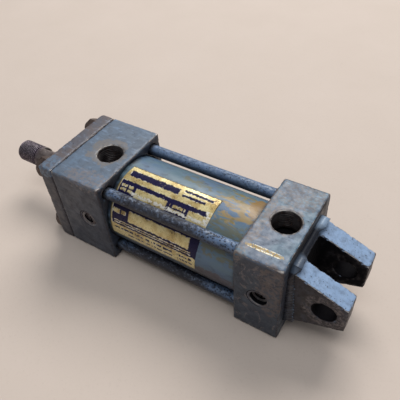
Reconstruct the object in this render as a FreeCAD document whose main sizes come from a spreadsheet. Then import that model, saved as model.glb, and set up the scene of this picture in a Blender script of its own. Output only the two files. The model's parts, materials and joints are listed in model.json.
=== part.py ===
import FreeCAD, Part
import os
import re

import Sketcher
from FreeCAD import Placement, Rotation, Vector

# Tie-rod air cylinder with a square head and cap, a rear clevis and adjustable cushions.
# Millimetres. The origin is the centre of the clevis's pin bore, on the cylinder's axis.
# +X points from the rod end to the clevis end, +Z out of the two ports, and -Y out of
# the two cushion needles. The rod is drawn part of the way out.

SIZES = [
    # block stack, from the rod end to the clevis end
    ("block_width", 63.5, "side of the square head, cap and retainer plate"),
    ("block_chamfer", 0.7, "chamfer on the blocks' outer edges"),
    ("plate_length", 11.1, "retainer plate"),
    ("head_length", 38.1, "head"),
    ("barrel_gap", 91.1, "head to cap"),
    ("cap_length", 28.6, "cap"),
    # rear clevis
    ("pin_offset", 20.6, "cap's back face to the pin bore"),
    ("clevis_reach", 12.4, "pin bore to the ears' tips"),
    ("clevis_width", 44.4, "over both ears"),
    ("slot_width", 19.3, "between the ears"),
    ("slot_depth", 17.2, "pin bore to the slot's floor"),
    ("slot_fillet", 1.6, "corners of the slot's floor"),
    ("ear_root", 44.6, "ears' height at the cap"),
    ("ear_tip", 18.6, "ears' height at the tips"),
    ("ear_round", 1.6, "rounding of the tips' corners"),
    ("pin_bore_radius", 6.4, "bore for a 1/2 in pin"),
    ("weld_leg", 5.2, "fillet weld round the clevis's root"),
    ("weld_slope", 4.8, "how much of both legs the weld's slope takes"),
    # tube and its register in the head and cap
    ("bore_radius", 25.4, "tube's bore"),
    ("tube_radius", 28.575, "tube's outside"),
    ("register_depth", 4.2, "ring groove that takes the tube's end"),
    ("register_gap", 0.08, "play round the tube in that groove"),
    ("gasket_length", 1.0, "gasket behind the tube's end"),
    ("gasket_inset", 0.06, "gasket's play inside the tube's own wall"),
    # tie rods and nuts
    ("tie_rod_offset", 23.6, "tie rods from the axis, in Y and in Z"),
    ("tie_rod_radius", 3.65, "plain middle"),
    ("tie_thread_radius", 3.9, "5/16-24 ends"),
    ("tie_chamfer", 0.8, "tip's chamfer"),
    ("tie_taper", 1.0, "length of the step between the ends and the middle"),
    ("tie_hole_radius", 4.0, "hole round an end"),
    ("tie_rod_stub", 9.0, "tie rod past the retainer plate"),
    ("tie_head_thread", 20.0, "thread behind the plate's front face"),
    ("tie_cap_thread", 16.0, "tie rod inside the cap"),
    ("tie_cap_runout", 2.0, "thread in front of the cap"),
    ("tie_hole_depth", 18.0, "blind hole in the cap"),
    ("nut_height", 6.75, "tie rod nut"),
    ("nut_corner_radius", 7.33, "over the nut's corners, 1/2 in across flats"),
    ("nut_crown_radius", 9.9, "ball that rounds off the nut's outer corners"),
    ("nut_crown_rise", 1.1, "ball's top over the nut"),
    # ports and needle stations, from the face of the block that is nearer the rod
    ("head_station", 22.6, "port and needle in the head"),
    ("cap_station", 15.6, "port and needle in the cap"),
    ("port_radius", 8.3, "3/8 pipe thread"),
    ("port_mouth", 8.8, "chamfer of the port's mouth"),
    ("port_depth", 15.5, "threaded depth"),
    ("port_drill_radius", 5.5, "drill on to the chamber"),
    ("port_drill_depth", 22.5, "its depth from the top face"),
    # head's inside, from its front face
    ("gland_seat_radius", 17.08, "counterbore for the gland's flange"),
    ("gland_seat_depth", 13.1, "its depth"),
    ("head_chamber_radius", 14.0, "cushion chamber round the rod"),
    ("head_chamber_end", 29.0, "back of the chamber"),
    ("head_groove_start", 30.9, "cushion seal's groove"),
    ("head_throat_radius", 11.4, "throat round the cushion sleeve"),
    # cap's inside, from its front face
    ("cap_throat_radius", 9.9, "throat round the cushion spear"),
    ("cap_groove_start", 2.6, "cushion seal's groove"),
    ("cap_groove_radius", 12.5, "its radius"),
    ("cap_chamber_start", 8.0, "front of the chamber"),
    ("cap_chamber_radius", 12.0, "cushion chamber"),
    ("cap_chamber_end", 23.5, "back of the chamber"),
    ("cushion_groove", 4.2, "width of both cushion seal grooves"),
    ("cushion_seal_width", 4.0, "cushion seals"),
    ("cushion_seal_wall", 2.74, "their radial thickness"),
    # cushion needles, measured inwards from the block's side face
    ("needle_bore_radius", 5.0, "threaded part of the bore"),
    ("needle_mouth_radius", 5.5, "countersink"),
    ("needle_mouth_depth", 0.3, "its depth"),
    ("needle_thread_depth", 8.45, "its depth in the head"),
    ("needle_seal_radius", 3.2, "smooth part of the bore"),
    ("needle_seal_depth", 14.85, "its depth in the head"),
    ("orifice_radius", 1.5, "orifice into the chamber"),
    ("orifice_depth", 20.5, "its depth in the head"),
    ("cap_orifice_depth", 22.0, "its depth in the cap"),
    ("cap_needle_shift", 2.5, "how much deeper all of it lies in the cap"),
    ("bypass_depth", 13.6, "bypass drilling in the head"),
    ("bypass_radius", 1.2, "its radius"),
    ("needle_sink", 2.2, "needle's outer end below the head's face"),
    ("needle_radius", 4.9, "needle's threaded body"),
    ("needle_body", 5.0, "its length"),
    ("needle_chamfer", 0.5, "its outer edge"),
    ("needle_stem_radius", 2.9, "stem"),
    ("needle_stem_end", 10.0, "end of the stem"),
    ("needle_groove_radius", 1.9, "O-ring groove"),
    ("needle_groove_start", 7.4, "its near side"),
    ("needle_groove_end", 9.4, "its far side"),
    ("needle_tip_radius", 1.35, "tip"),
    ("needle_point_radius", 0.35, "point of the cone"),
    ("needle_tip_end", 10.8, "start of the cone"),
    ("needle_point", 13.6, "end of the cone"),
    ("needle_slot_width", 1.3, "screwdriver slot"),
    ("needle_slot_depth", 1.5, "its depth"),
    ("clip_sink", 0.55, "retaining clip below the head's face"),
    ("clip_thickness", 0.5, "clip"),
    ("clip_inner", 3.7, "clip's inner radius"),
    ("clip_outer", 5.35, "clip's outer radius"),
    ("clip_groove_radius", 5.4, "its groove"),
    ("clip_groove_width", 0.6, "its groove's width"),
    ("clip_play", 0.05, "clip's play in the groove"),
    ("clip_opening", 3.0, "gap between the clip's ends"),
    # rod gland
    ("nose_radius", 14.28, "gland's nose in the plate"),
    ("plate_bore_radius", 14.35, "plate's bore"),
    ("nose_length", 3.0, "nose past the plate"),
    ("nose_chamfer", 0.6, "its outer edge"),
    ("flange_play", 0.05, "flange's play behind the plate"),
    ("gland_radius", 17.0, "gland's flange"),
    ("gland_flange", 13.0, "flange's length inside the head"),
    ("gland_bore_radius", 8.0, "running bore for the rod"),
    ("wiper_pocket", 4.0, "pocket for the wiper"),
    ("wiper_radius", 11.0, "its radius"),
    ("wiper_wall", 0.9, "gap round the rod inside the wiper"),
    ("wiper_heel", 2.6, "length of the wiper's outer part"),
    ("wiper_reach", 0.9, "lip's tip past the gland"),
    ("wiper_edge", 0.5, "width of the lip's edge"),
    ("wiper_flare", 2.0, "lip's thickness at the gland's face"),
    ("wiper_stand", 0.3, "wiper's flush part inside the face"),
    ("rod_seal_start", 4.6, "rod seal's groove behind the plate's front face"),
    ("rod_seal_groove", 5.0, "its width"),
    ("rod_seal_radius", 11.8, "its radius"),
    ("gland_ring_start", 4.6, "O-ring groove behind the head's front face"),
    ("gland_ring_groove", 2.6, "its width"),
    ("gland_ring_radius", 15.1, "its floor"),
    # rod, piston and cushions
    ("rod_radius", 7.9375, "5/8 in rod"),
    ("rod_thread_radius", 7.87, "its 5/8-18 thread, over the crests"),
    ("rod_thread_length", 16.9, "thread with its chamfer"),
    ("relief_radius", 7.1, "groove where the thread ends"),
    ("relief_width", 1.2, "its width"),
    ("rod_reach", 58.4, "rod's tip to the plate's front face"),
    ("rod_chamfer", 1.2, "tip's chamfer"),
    ("flat_start", 37.4, "wrench flats to the plate, outer end"),
    ("flat_end", 24.4, "wrench flats to the plate, inner end"),
    ("flat_half", 6.35, "half of 1/2 in across the flats"),
    ("piston_station", 43.2, "head's back face to the piston"),
    ("piston_length", 25.4, "piston"),
    ("piston_radius", 25.1, "piston"),
    ("sleeve_seat_radius", 7.0, "rod under the cushion sleeve"),
    ("stub_radius", 6.35, "rod's stub in the piston"),
    ("stub_length", 35.6, "stub"),
    ("stub_play", 0.05, "bores on the stub and under the sleeve"),
    ("stub_groove_radius", 5.2, "stub's O-ring groove"),
    ("stub_groove_start", 9.6, "its place behind the piston's front face"),
    ("stub_groove_width", 2.4, "its width"),
    ("sleeve_length", 14.0, "cushion sleeve"),
    ("sleeve_radius", 11.0, "cushion sleeve"),
    ("spear_length", 14.0, "cushion spear, which is the piston's nut"),
    ("spear_radius", 9.5, "cushion spear"),
    ("spear_bore", 11.0, "its threaded depth"),
    ("cushion_taper", 0.7, "taper at the leading ends"),
    ("cushion_taper_length", 2.5, "its length"),
    ("lip_groove_start", 3.4, "piston seals' grooves from either face"),
    ("lip_groove_width", 4.4, "their width"),
    ("lip_groove_radius", 20.4, "their floor"),
    ("band_groove_width", 5.4, "wear band's groove, at mid length"),
    ("band_groove_radius", 23.3, "its floor"),
    ("seal_play", 0.1, "seals' play in their grooves"),
    ("lip_depth", 2.2, "depth of the hollow between a seal's lips"),
    ("lip_thickness", 0.7, "lips at their edges"),
    ("lip_lean", 0.25, "how far the lips flare out"),
    ("lip_floor", 0.2, "half the width of the hollow's floor"),
    ("ring_squeeze", 0.04, "O-rings' play in their grooves"),
    ("seal_fit", 0.06, "seals' radial play on what they run on"),
    # name plate
    ("plate_foil", 0.22, "foil name plate's thickness"),
    ("foil_start", 1.6, "head's back face to the foil"),
    ("foil_length", 66.1, "foil"),
    ("foil_span", 102.0, "degrees, from the top down the needle side"),
]

# Places along X, written out of the sizes.
STATIONS = {
    "cap_back": "(0 - pin_offset)",
    "cap_front": "(cap_back - cap_length)",
    "head_back": "(cap_front - barrel_gap)",
    "head_front": "(head_back - head_length)",
    "plate_front": "(head_front - plate_length)",
    "half_width": "(block_width / 2)",
    "piston_front": "(head_back + piston_station)",
    "piston_back": "(piston_front + piston_length)",
    "piston_middle": "(piston_front + piston_length / 2)",
    "slot_end": "(clevis_reach * 1.5)",
}

FLAT_TURN = 48  # degrees that the rod is turned about X, which tilts its wrench flats
OVERCUT = 2  # mm that a tool runs past a face
NEAR = 0.01  # mm within which a point counts as on a plane
LEAST_CUT = 0.01  # mm3 that every cut must remove

doc = FreeCAD.newDocument("air_cylinder")
sheet = doc.addObject("Spreadsheet::Sheet", "Sizes")
for row, (alias, value, note) in enumerate(SIZES, start=1):
    sheet.set(f"A{row}", note)
    sheet.set(f"B{row}", str(value))
    sheet.setAlias(f"B{row}", alias)
doc.recompute()

pieces = []
cuts = []


def expression(text):
    """Text with stations written out and each size's name bound to its cell."""
    while any(re.search(rf"\b{name}\b", text) for name in STATIONS):
        for name, place in STATIONS.items():
            text = re.sub(rf"\b{name}\b", place, text)
    return re.sub(r"[a-z]\w*", lambda size: "Sizes." + size.group(), text)


def number(text):
    return float(sheet.evalExpression(expression(text)))


def bind(thing, target, text):
    thing.setExpression(target, expression(text))


# ---- sketches and features ------------------------------------------------------


def new_body(label):
    body = doc.addObject("PartDesign::Body", label)
    body.Label = label
    pieces.append(body)
    return body


def origin_feature(body, role):
    return next(item for item in body.Origin.OriginFeatures if item.Role == role)


def new_sketch(body, plane, shift=("0", "0", "0")):
    """Sketch on one of the body's origin planes, shifted along its own three axes."""
    sketch = body.newObject("Sketcher::SketchObject", body.Label + "_sketch")
    sketch.AttachmentSupport = [(origin_feature(body, plane), "")]
    sketch.MapMode = "FlatFace"
    for axis, text in zip("xyz", shift):
        bind(sketch, f"AttachmentOffset.Base.{axis}", text)
    return sketch


def draw_outline(sketch, points):
    """Closed outline whose corners are dimensioned from the sketch's origin."""
    first = sketch.GeometryCount
    corners = [Vector(number(across), number(up), 0) for across, up in points]
    for start, end in zip(corners, corners[1:] + corners[:1]):
        sketch.addGeometry(Part.LineSegment(start, end), False)
    last = sketch.GeometryCount - 1
    for side, (across, up) in enumerate(points, start=first):
        before = side - 1 if side > first else last
        sketch.addConstraint(Sketcher.Constraint("Coincident", before, 2, side, 1))
        for kind, text in (("DistanceX", across), ("DistanceY", up)):
            dimension = Sketcher.Constraint(kind, -1, 1, side, 1, number(text))
            index = sketch.addConstraint(dimension)
            bind(sketch, f"Constraints[{index}]", text)


def draw_circle(sketch, radius):
    """Circle about the sketch's origin."""
    circle = Part.Circle(Vector(0, 0, 0), Vector(0, 0, 1), number(radius))
    ring = sketch.addGeometry(circle, False)
    sketch.addConstraint(Sketcher.Constraint("Coincident", ring, 3, -1, 1))
    size = sketch.addConstraint(Sketcher.Constraint("Radius", ring, number(radius)))
    bind(sketch, f"Constraints[{size}]", radius)


def add_feature(body, kind, sketch):
    feature = body.newObject("PartDesign::" + kind, f"{body.Label}_{kind.lower()}")
    feature.Profile = sketch
    if kind in ("Groove", "Pocket"):
        cuts.append(feature)
    return feature


def turn(body, points, cut=False, about="H_Axis", shift=("0", "0", "0")):
    """Full turn of an outline drawn on the XZ plane, about the sketch's own axis."""
    sketch = new_sketch(body, "XZ_Plane", shift)
    draw_outline(sketch, points)
    feature = add_feature(body, "Groove" if cut else "Revolution", sketch)
    feature.ReferenceAxis = (sketch, [about])
    feature.Angle = 360
    doc.recompute()
    return feature


def bore_along_y(body, station, steps):
    """Stepped bore from the needle side: steps are (radius, depth) from the side face."""
    sketch = new_sketch(body, "XY_Plane", (station, "0 - half_width", "0"))
    points = [("0", f"0 - {OVERCUT}"), (steps[0][0], f"0 - {OVERCUT}")]
    for (radius, depth), (following, _) in zip(steps, steps[1:] + [("0", "0")]):
        points += [(radius, depth), (following, depth)]
    draw_outline(sketch, points)
    groove = add_feature(body, "Groove", sketch)
    groove.ReferenceAxis = (sketch, ["V_Axis"])
    groove.Angle = 360
    doc.recompute()


def through_pocket(body, plane, shift=("0", "0", "0"), outlines=(), radius=None, length="block_width * 3"):
    """Cut that runs both ways from the sketch's plane, right through the body unless told."""
    sketch = new_sketch(body, plane, shift)
    for points in outlines:
        draw_outline(sketch, points)
    if radius:
        draw_circle(sketch, radius)
    pocket = add_feature(body, "Pocket", sketch)
    pocket.Midplane = True
    bind(pocket, "Length", length)
    doc.recompute()


def edges_where(feature, test):
    """Names of the straight edges whose two ends both pass the test."""
    names = []
    for index, edge in enumerate(feature.Shape.Edges, start=1):
        ends = [vertex.Point for vertex in edge.Vertexes]
        if len(ends) == 2 and all(test(end) for end in ends):
            names.append(f"Edge{index}")
    return names


def dress(body, kind, base, names, target, text):
    feature = body.newObject("PartDesign::" + kind, f"{body.Label}_{kind.lower()}")
    feature.Base = (base, names)
    bind(feature, target, text)
    doc.recompute()
    return feature


def rectangle(low_x, low_y, high_x, high_y):
    return [(low_x, low_y), (high_x, low_y), (high_x, high_y), (low_x, high_y)]


def ring(label, start, end, inner, outer):
    """Plain ring about X."""
    body = new_body(label)
    turn(body, rectangle(start, inner, end, outer))
    return body


def torus(label, axis, station, height, middle, section):
    """O-ring about X, or about Y at a height on the needle side."""
    shape = doc.addObject("Part::Torus", label)
    shape.Label = label
    bind(shape, "Radius1", middle)
    bind(shape, "Radius2", section)
    shape.Placement = Placement(Vector(0, 0, 0), Rotation(Vector(0, 0, 1), axis))
    bind(shape, "Placement.Base.x", station)
    bind(shape, "Placement.Base.y", height)
    pieces.append(shape)


# ---- blocks ----------------------------------------------------------------------


def square_block(label, front, length):
    body = new_body(label)
    sketch = new_sketch(body, "YZ_Plane", ("0", "0", front))
    draw_outline(sketch, rectangle("0 - half_width", "0 - half_width", "half_width", "half_width"))
    pad = add_feature(body, "Pad", sketch)
    bind(pad, "Length", length)
    doc.recompute()
    outer_edges = edges_where(pad, lambda end: True)
    dress(body, "Chamfer", pad, outer_edges, "Size", "block_chamfer")
    return body


def tie_rod_holes(body, start, end):
    """Four holes, one drilled and then patterned about X."""
    corner = ("0", "tie_rod_offset", "tie_rod_offset")
    hole = turn(body, rectangle(start, "0", end, "tie_hole_radius"), cut=True, shift=corner)
    pattern = body.newObject("PartDesign::PolarPattern", body.Label + "_pattern")
    pattern.Originals = [hole]
    pattern.Axis = (origin_feature(body, "X_Axis"), [""])
    pattern.Angle = 360
    pattern.Occurrences = 4
    body.Tip = pattern
    doc.recompute()


def port(body, station):
    """Pipe port in the top face, with a smaller drill on to the chamber."""
    top, drill = "half_width", "half_width - port_drill_depth"
    floor = "half_width - port_depth"
    profile = [
        ("0", f"{top} + {OVERCUT}"),
        ("port_mouth", f"{top} + {OVERCUT}"),
        ("port_mouth", top),
        ("port_radius", f"{top} - (port_mouth - port_radius)"),
        ("port_radius", floor),
        ("port_drill_radius", floor),
        ("port_drill_radius", drill),
        ("0", drill),
    ]
    turn(body, profile, cut=True, about="V_Axis", shift=(station, "0", "0"))


def needle_bore(body, station, shift, orifice):
    """Threaded mouth, seal bore and orifice on the needle side, and the clip's groove."""
    steps = [
        ("needle_mouth_radius", "needle_mouth_depth"),
        ("needle_bore_radius", f"needle_thread_depth + {shift}"),
        ("needle_seal_radius", f"needle_seal_depth + {shift}"),
        ("orifice_radius", orifice),
    ]
    bore_along_y(body, station, steps)
    groove = f"clip_sink + {shift} - clip_play"
    sketch = new_sketch(body, "XY_Plane", (station, "0 - half_width", "0"))
    outer = rectangle("0", groove, "clip_groove_radius", f"{groove} + clip_groove_width")
    draw_outline(sketch, outer)
    cut = add_feature(body, "Groove", sketch)
    cut.ReferenceAxis = (sketch, ["V_Axis"])
    cut.Angle = 360
    doc.recompute()


def bypass(body, start, end, shift):
    """Drilling along X from the tube's inside to the needle."""
    line = ("0", "0", f"half_width - bypass_depth - {shift}")
    turn(body, rectangle(start, "0", end, "bypass_radius"), cut=True, shift=line)


def register(body, start, end):
    """Ring groove that takes the tube's end and its gasket."""
    inner, outer = "bore_radius - register_gap", "tube_radius + register_gap"
    turn(body, rectangle(start, inner, end, outer), cut=True)


def build_retainer_plate():
    body = square_block("retainer_plate", "plate_front", "plate_length")
    past, beyond = f"plate_front - {OVERCUT}", f"head_front + {OVERCUT}"
    turn(body, rectangle(past, "0", beyond, "plate_bore_radius"), cut=True)
    tie_rod_holes(body, past, beyond)


def build_head():
    body = square_block("head_block", "head_front", "head_length")
    seat = "head_front + gland_seat_depth"
    chamber = "head_front + head_chamber_end"
    groove = "head_front + head_groove_start"
    profile = [
        (f"head_front - {OVERCUT}", "0"),
        (f"head_front - {OVERCUT}", "gland_seat_radius"),
        (seat, "gland_seat_radius"),
        (seat, "head_chamber_radius"),
        (chamber, "head_chamber_radius"),
        (chamber, "head_throat_radius"),
        (groove, "head_throat_radius"),
        (groove, "head_chamber_radius"),
        (f"{groove} + cushion_groove", "head_chamber_radius"),
        (f"{groove} + cushion_groove", "head_throat_radius"),
        (f"head_back + {OVERCUT}", "head_throat_radius"),
        (f"head_back + {OVERCUT}", "0"),
    ]
    turn(body, profile, cut=True)
    register(body, "head_back - register_depth", f"head_back + {OVERCUT}")
    port(body, "head_front + head_station")
    needle_bore(body, "head_front + head_station", "0", "orifice_depth")
    bypass(body, "head_front + head_station", f"head_back + {OVERCUT}", "0")
    tie_rod_holes(body, f"head_front - {OVERCUT}", f"head_back + {OVERCUT}")


def build_cap():
    body = square_block("cap_block", "cap_front", "cap_length")
    groove = "cap_front + cap_groove_start"
    chamber = "cap_front + cap_chamber_start"
    profile = [
        (f"cap_front - {OVERCUT}", "0"),
        (f"cap_front - {OVERCUT}", "cap_throat_radius"),
        (groove, "cap_throat_radius"),
        (groove, "cap_groove_radius"),
        (f"{groove} + cushion_groove", "cap_groove_radius"),
        (f"{groove} + cushion_groove", "cap_throat_radius"),
        (chamber, "cap_throat_radius"),
        (chamber, "cap_chamber_radius"),
        ("cap_front + cap_chamber_end", "cap_chamber_radius"),
        ("cap_front + cap_chamber_end", "0"),
    ]
    turn(body, profile, cut=True)
    register(body, f"cap_front - {OVERCUT}", "cap_front + register_depth")
    port(body, "cap_front + cap_station")
    needle_bore(body, "cap_front + cap_station", "cap_needle_shift", "cap_orifice_depth")
    bypass(body, f"cap_front - {OVERCUT}", "cap_front + cap_station", "cap_needle_shift")
    tie_rod_holes(body, f"cap_front - {OVERCUT}", "cap_front + tie_hole_depth")


# ---- tube, tie rods and nuts -----------------------------------------------------


def build_tube():
    gasket = "register_depth - gasket_length - register_gap"
    start, end = f"head_back - ({gasket})", f"cap_front + ({gasket})"
    ring("cylinder_tube", start, end, "bore_radius", "tube_radius")
    inner, outer = "bore_radius + gasket_inset", "tube_radius - gasket_inset"
    head_floor, cap_floor = "head_back - register_depth", "cap_front + register_depth"
    ring("head_tube_gasket", head_floor, f"{head_floor} + gasket_length", inner, outer)
    ring("cap_tube_gasket", f"{cap_floor} - gasket_length", cap_floor, inner, outer)


def build_tie_rods():
    tip, end = "plate_front - tie_rod_stub", "cap_front + tie_cap_thread"
    plain_start, plain_end = "plate_front + tie_head_thread", "cap_front - tie_cap_runout"
    profile = [
        (tip, "0"),
        (tip, "tie_thread_radius - tie_chamfer"),
        (f"{tip} + tie_chamfer", "tie_thread_radius"),
        (plain_start, "tie_thread_radius"),
        (f"{plain_start} + tie_taper", "tie_rod_radius"),
        (f"{plain_end} - tie_taper", "tie_rod_radius"),
        (plain_end, "tie_thread_radius"),
        (end, "tie_thread_radius"),
        (end, "0"),
    ]
    for height, z_side in (("top", ""), ("bottom", "0 - ")):
        for side, y_side in (("near", ""), ("far", "0 - ")):
            body = new_body(f"tie_rod_{height}_{side}")
            shift = ("0", z_side + "tie_rod_offset", y_side + "tie_rod_offset")
            turn(body, profile, shift=shift)


def build_tie_rod_nuts():
    """Four hexagon nuts with rounded-off corners, on the retainer plate's front face."""
    nuts = []
    facing_rod_end = Rotation(Vector(0, 0, 1), Vector(-1, 0, 0))
    for z_sign in (1, -1):
        for y_sign in (1, -1):
            blank = doc.addObject("Part::Prism", "nut_blank")
            blank.Polygon = 6
            bind(blank, "Circumradius", "nut_corner_radius")
            bind(blank, "Height", "nut_height")
            crown = doc.addObject("Part::Sphere", "nut_crown")
            bind(crown, "Radius", "nut_crown_radius")
            bind(crown, "Placement.Base.z", "nut_height - nut_crown_radius + nut_crown_rise")
            rounded = doc.addObject("Part::Common", "nut_rounded")
            rounded.Base, rounded.Tool = blank, crown
            hole = doc.addObject("Part::Cylinder", "nut_hole")
            bind(hole, "Radius", "tie_hole_radius")
            bind(hole, "Height", "nut_height * 3")
            bind(hole, "Placement.Base.z", "0 - nut_height")
            nut = doc.addObject("Part::Cut", "nut")
            nut.Base, nut.Tool = rounded, hole
            nut.Placement = Placement(Vector(0, 0, 0), facing_rod_end)
            bind(nut, "Placement.Base.x", "plate_front")
            bind(nut, "Placement.Base.y", f"{y_sign} * tie_rod_offset")
            bind(nut, "Placement.Base.z", f"{z_sign} * tie_rod_offset")
            nuts.append(nut)
    group = doc.addObject("Part::Compound", "tie_rod_nuts")
    group.Label = "tie_rod_nuts"
    group.Links = nuts
    pieces.append(group)


# ---- rear clevis -----------------------------------------------------------------


CLEVIS_SIDE = [
    ("cap_back", "0 - ear_root / 2"),
    ("clevis_reach", "0 - ear_tip / 2"),
    ("clevis_reach", "ear_tip / 2"),
    ("cap_back", "ear_root / 2"),
]
CLEVIS_SLOT = rectangle("0 - slot_depth", "0 - slot_width / 2", "slot_end", "slot_width / 2")


def edges_along(shape, names, direction):
    """Those of the named edges that run along a direction."""
    return [name for name in names if abs(shape.getElement(name).tangentAt(0).dot(direction)) > 0.9]


def build_clevis():
    body = new_body("clevis_bracket")
    sketch = new_sketch(body, "XZ_Plane")
    draw_outline(sketch, CLEVIS_SIDE)
    pad = add_feature(body, "Pad", sketch)
    pad.Midplane = True
    bind(pad, "Length", "clevis_width")
    doc.recompute()
    through_pocket(body, "XY_Plane", outlines=[CLEVIS_SLOT])
    through_pocket(body, "XZ_Plane", radius="pin_bore_radius")
    reach, floor = number("clevis_reach"), number("0 - slot_depth")
    half_slot = number("slot_width / 2")
    rims = edges_where(body.Tip, lambda end: abs(end.x - reach) < NEAR)
    rims = edges_along(body.Tip.Shape, rims, Vector(0, 1, 0))
    tips = dress(body, "Fillet", body.Tip, rims, "Radius", "ear_round")
    corners = edges_where(tips, lambda end: abs(end.x - floor) < NEAR and abs(end.y) < half_slot + NEAR)
    corners = edges_along(tips.Shape, corners, Vector(0, 0, 1))
    dress(body, "Fillet", tips, corners, "Radius", "slot_fillet")


def build_clevis_weld():
    """Fillet weld round the clevis's root, on the cap's back face. It leaves the slot free."""
    body = new_body("clevis_weld")
    sketch = new_sketch(body, "YZ_Plane", ("0", "0", "cap_back"))
    half_y, half_z = "(clevis_width / 2 + weld_leg)", "(ear_root / 2 + weld_leg)"
    draw_outline(sketch, rectangle(f"0 - {half_y}", f"0 - {half_z}", half_y, half_z))
    pad = add_feature(body, "Pad", sketch)
    bind(pad, "Length", "weld_leg")
    doc.recompute()
    front = number("cap_back + weld_leg")
    rim = edges_where(pad, lambda end: abs(end.x - front) < NEAR)
    dress(body, "Chamfer", pad, rim, "Size", "weld_slope")
    through_pocket(body, "XZ_Plane", outlines=[CLEVIS_SIDE], length="clevis_width")
    through_pocket(body, "XY_Plane", outlines=[CLEVIS_SLOT])


# ---- gland and its seals ---------------------------------------------------------


def build_gland():
    body = new_body("rod_gland")
    front, back = "plate_front - nose_length", "head_front + gland_flange"
    seal = "plate_front + rod_seal_start"
    groove = "head_front + gland_ring_start"
    profile = [
        (front, "wiper_radius"),
        (front, "nose_radius - nose_chamfer"),
        (f"{front} + nose_chamfer", "nose_radius"),
        ("head_front + flange_play", "nose_radius"),
        ("head_front + flange_play", "gland_radius"),
        (groove, "gland_radius"),
        (groove, "gland_ring_radius"),
        (f"{groove} + gland_ring_groove", "gland_ring_radius"),
        (f"{groove} + gland_ring_groove", "gland_radius"),
        (back, "gland_radius"),
        (back, "gland_bore_radius"),
        (f"{seal} + rod_seal_groove", "gland_bore_radius"),
        (f"{seal} + rod_seal_groove", "rod_seal_radius"),
        (seal, "rod_seal_radius"),
        (seal, "gland_bore_radius"),
        (f"{front} + wiper_pocket", "gland_bore_radius"),
        (f"{front} + wiper_pocket", "wiper_radius"),
    ]
    turn(body, profile)

    wiper = new_body("rod_wiper")
    floor, rod = f"{front} + wiper_pocket - seal_play", "rod_radius + seal_fit"
    lip = [
        (floor, "wiper_radius - seal_play"),
        (floor, f"{rod} + wiper_wall"),
        (f"{floor} - wiper_heel", f"{rod} + wiper_wall"),
        (f"{front} - wiper_reach + wiper_edge", rod),
        (f"{front} - wiper_reach", f"{rod} + wiper_stand"),
        (f"{front} + wiper_stand", f"{rod} + wiper_flare"),
        (f"{front} + wiper_stand", "wiper_radius - seal_play"),
    ]
    turn(wiper, lip)

    start, end = f"{seal} + seal_play", f"{seal} + rod_seal_groove - seal_play"
    inner, outer = "rod_radius + seal_fit", "rod_seal_radius - seal_play"
    lip_seal("rod_seal", start, end, inner, outer, 1)

    middle = f"{groove} + gland_ring_groove / 2"
    centre = "(gland_seat_radius + gland_ring_radius) / 2"
    section = "(gland_seat_radius - gland_ring_radius) / 2 - ring_squeeze"
    torus("gland_o_ring", Vector(1, 0, 0), middle, "0", centre, section)


def lip_seal(label, start, end, inner, outer, mouth):
    """U-shaped seal ring about X, with its mouth to +X (mouth 1) or to -X (mouth -1)."""
    body = new_body(label)
    back, front = (start, end) if mouth > 0 else (end, start)
    deep = f"{front} - {mouth} * lip_depth"
    middle = f"(({inner}) + ({outer})) / 2"
    points = [
        (back, f"{inner} + lip_lean"),
        (front, inner),
        (front, f"{inner} + lip_thickness"),
        (deep, f"{middle} - lip_floor"),
        (deep, f"{middle} + lip_floor"),
        (front, f"{outer} - lip_thickness"),
        (front, outer),
        (back, f"{outer} - lip_lean"),
    ]
    turn(body, points)


def build_cushion_seals():
    head_start = "head_front + head_groove_start + seal_play"
    head_end = f"{head_start} + cushion_seal_width"
    inner = "sleeve_radius + seal_fit"
    lip_seal("head_cushion_seal", head_start, head_end, inner, f"{inner} + cushion_seal_wall", 1)
    cap_start = "cap_front + cap_groove_start + seal_play"
    cap_end = f"{cap_start} + cushion_seal_width"
    inner = "spear_radius + seal_fit"
    lip_seal("cap_cushion_seal", cap_start, cap_end, inner, f"{inner} + cushion_seal_wall", -1)


# ---- rod assembly ----------------------------------------------------------------


def build_rod():
    body = new_body("piston_rod")
    tip, shoulder = "plate_front - rod_reach", "piston_front - sleeve_length"
    thread_end = f"{tip} + rod_thread_length"
    end = "piston_front + stub_length"
    groove = "piston_front + stub_groove_start"
    profile = [
        (tip, "0"),
        (tip, "rod_thread_radius - rod_chamfer"),
        (f"{tip} + rod_chamfer", "rod_thread_radius"),
        (thread_end, "rod_thread_radius"),
        (thread_end, "relief_radius"),
        (f"{thread_end} + relief_width", "relief_radius"),
        (f"{thread_end} + relief_width", "rod_radius"),
        (shoulder, "rod_radius"),
        (shoulder, "sleeve_seat_radius"),
        ("piston_front", "sleeve_seat_radius"),
        ("piston_front", "stub_radius"),
        (groove, "stub_radius"),
        (groove, "stub_groove_radius"),
        (f"{groove} + stub_groove_width", "stub_groove_radius"),
        (f"{groove} + stub_groove_width", "stub_radius"),
        (end, "stub_radius"),
        (end, "0"),
    ]
    turn(body, profile)
    outer, inner = "plate_front - flat_start", "plate_front - flat_end"
    over = "rod_radius * 1.5"
    flats = [
        rectangle(outer, "flat_half", inner, over),
        rectangle(outer, f"0 - {over}", inner, "0 - flat_half"),
    ]
    through_pocket(body, "XZ_Plane", outlines=flats)
    body.Placement = Placement(Vector(0, 0, 0), Rotation(Vector(1, 0, 0), -FLAT_TURN))
    middle = f"{groove} + stub_groove_width / 2"
    centre = "(stub_radius + stub_groove_radius) / 2"
    section = "(stub_radius - stub_groove_radius) / 2 - ring_squeeze / 2"
    torus("rod_o_ring", Vector(1, 0, 0), middle, "0", centre, section)


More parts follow.
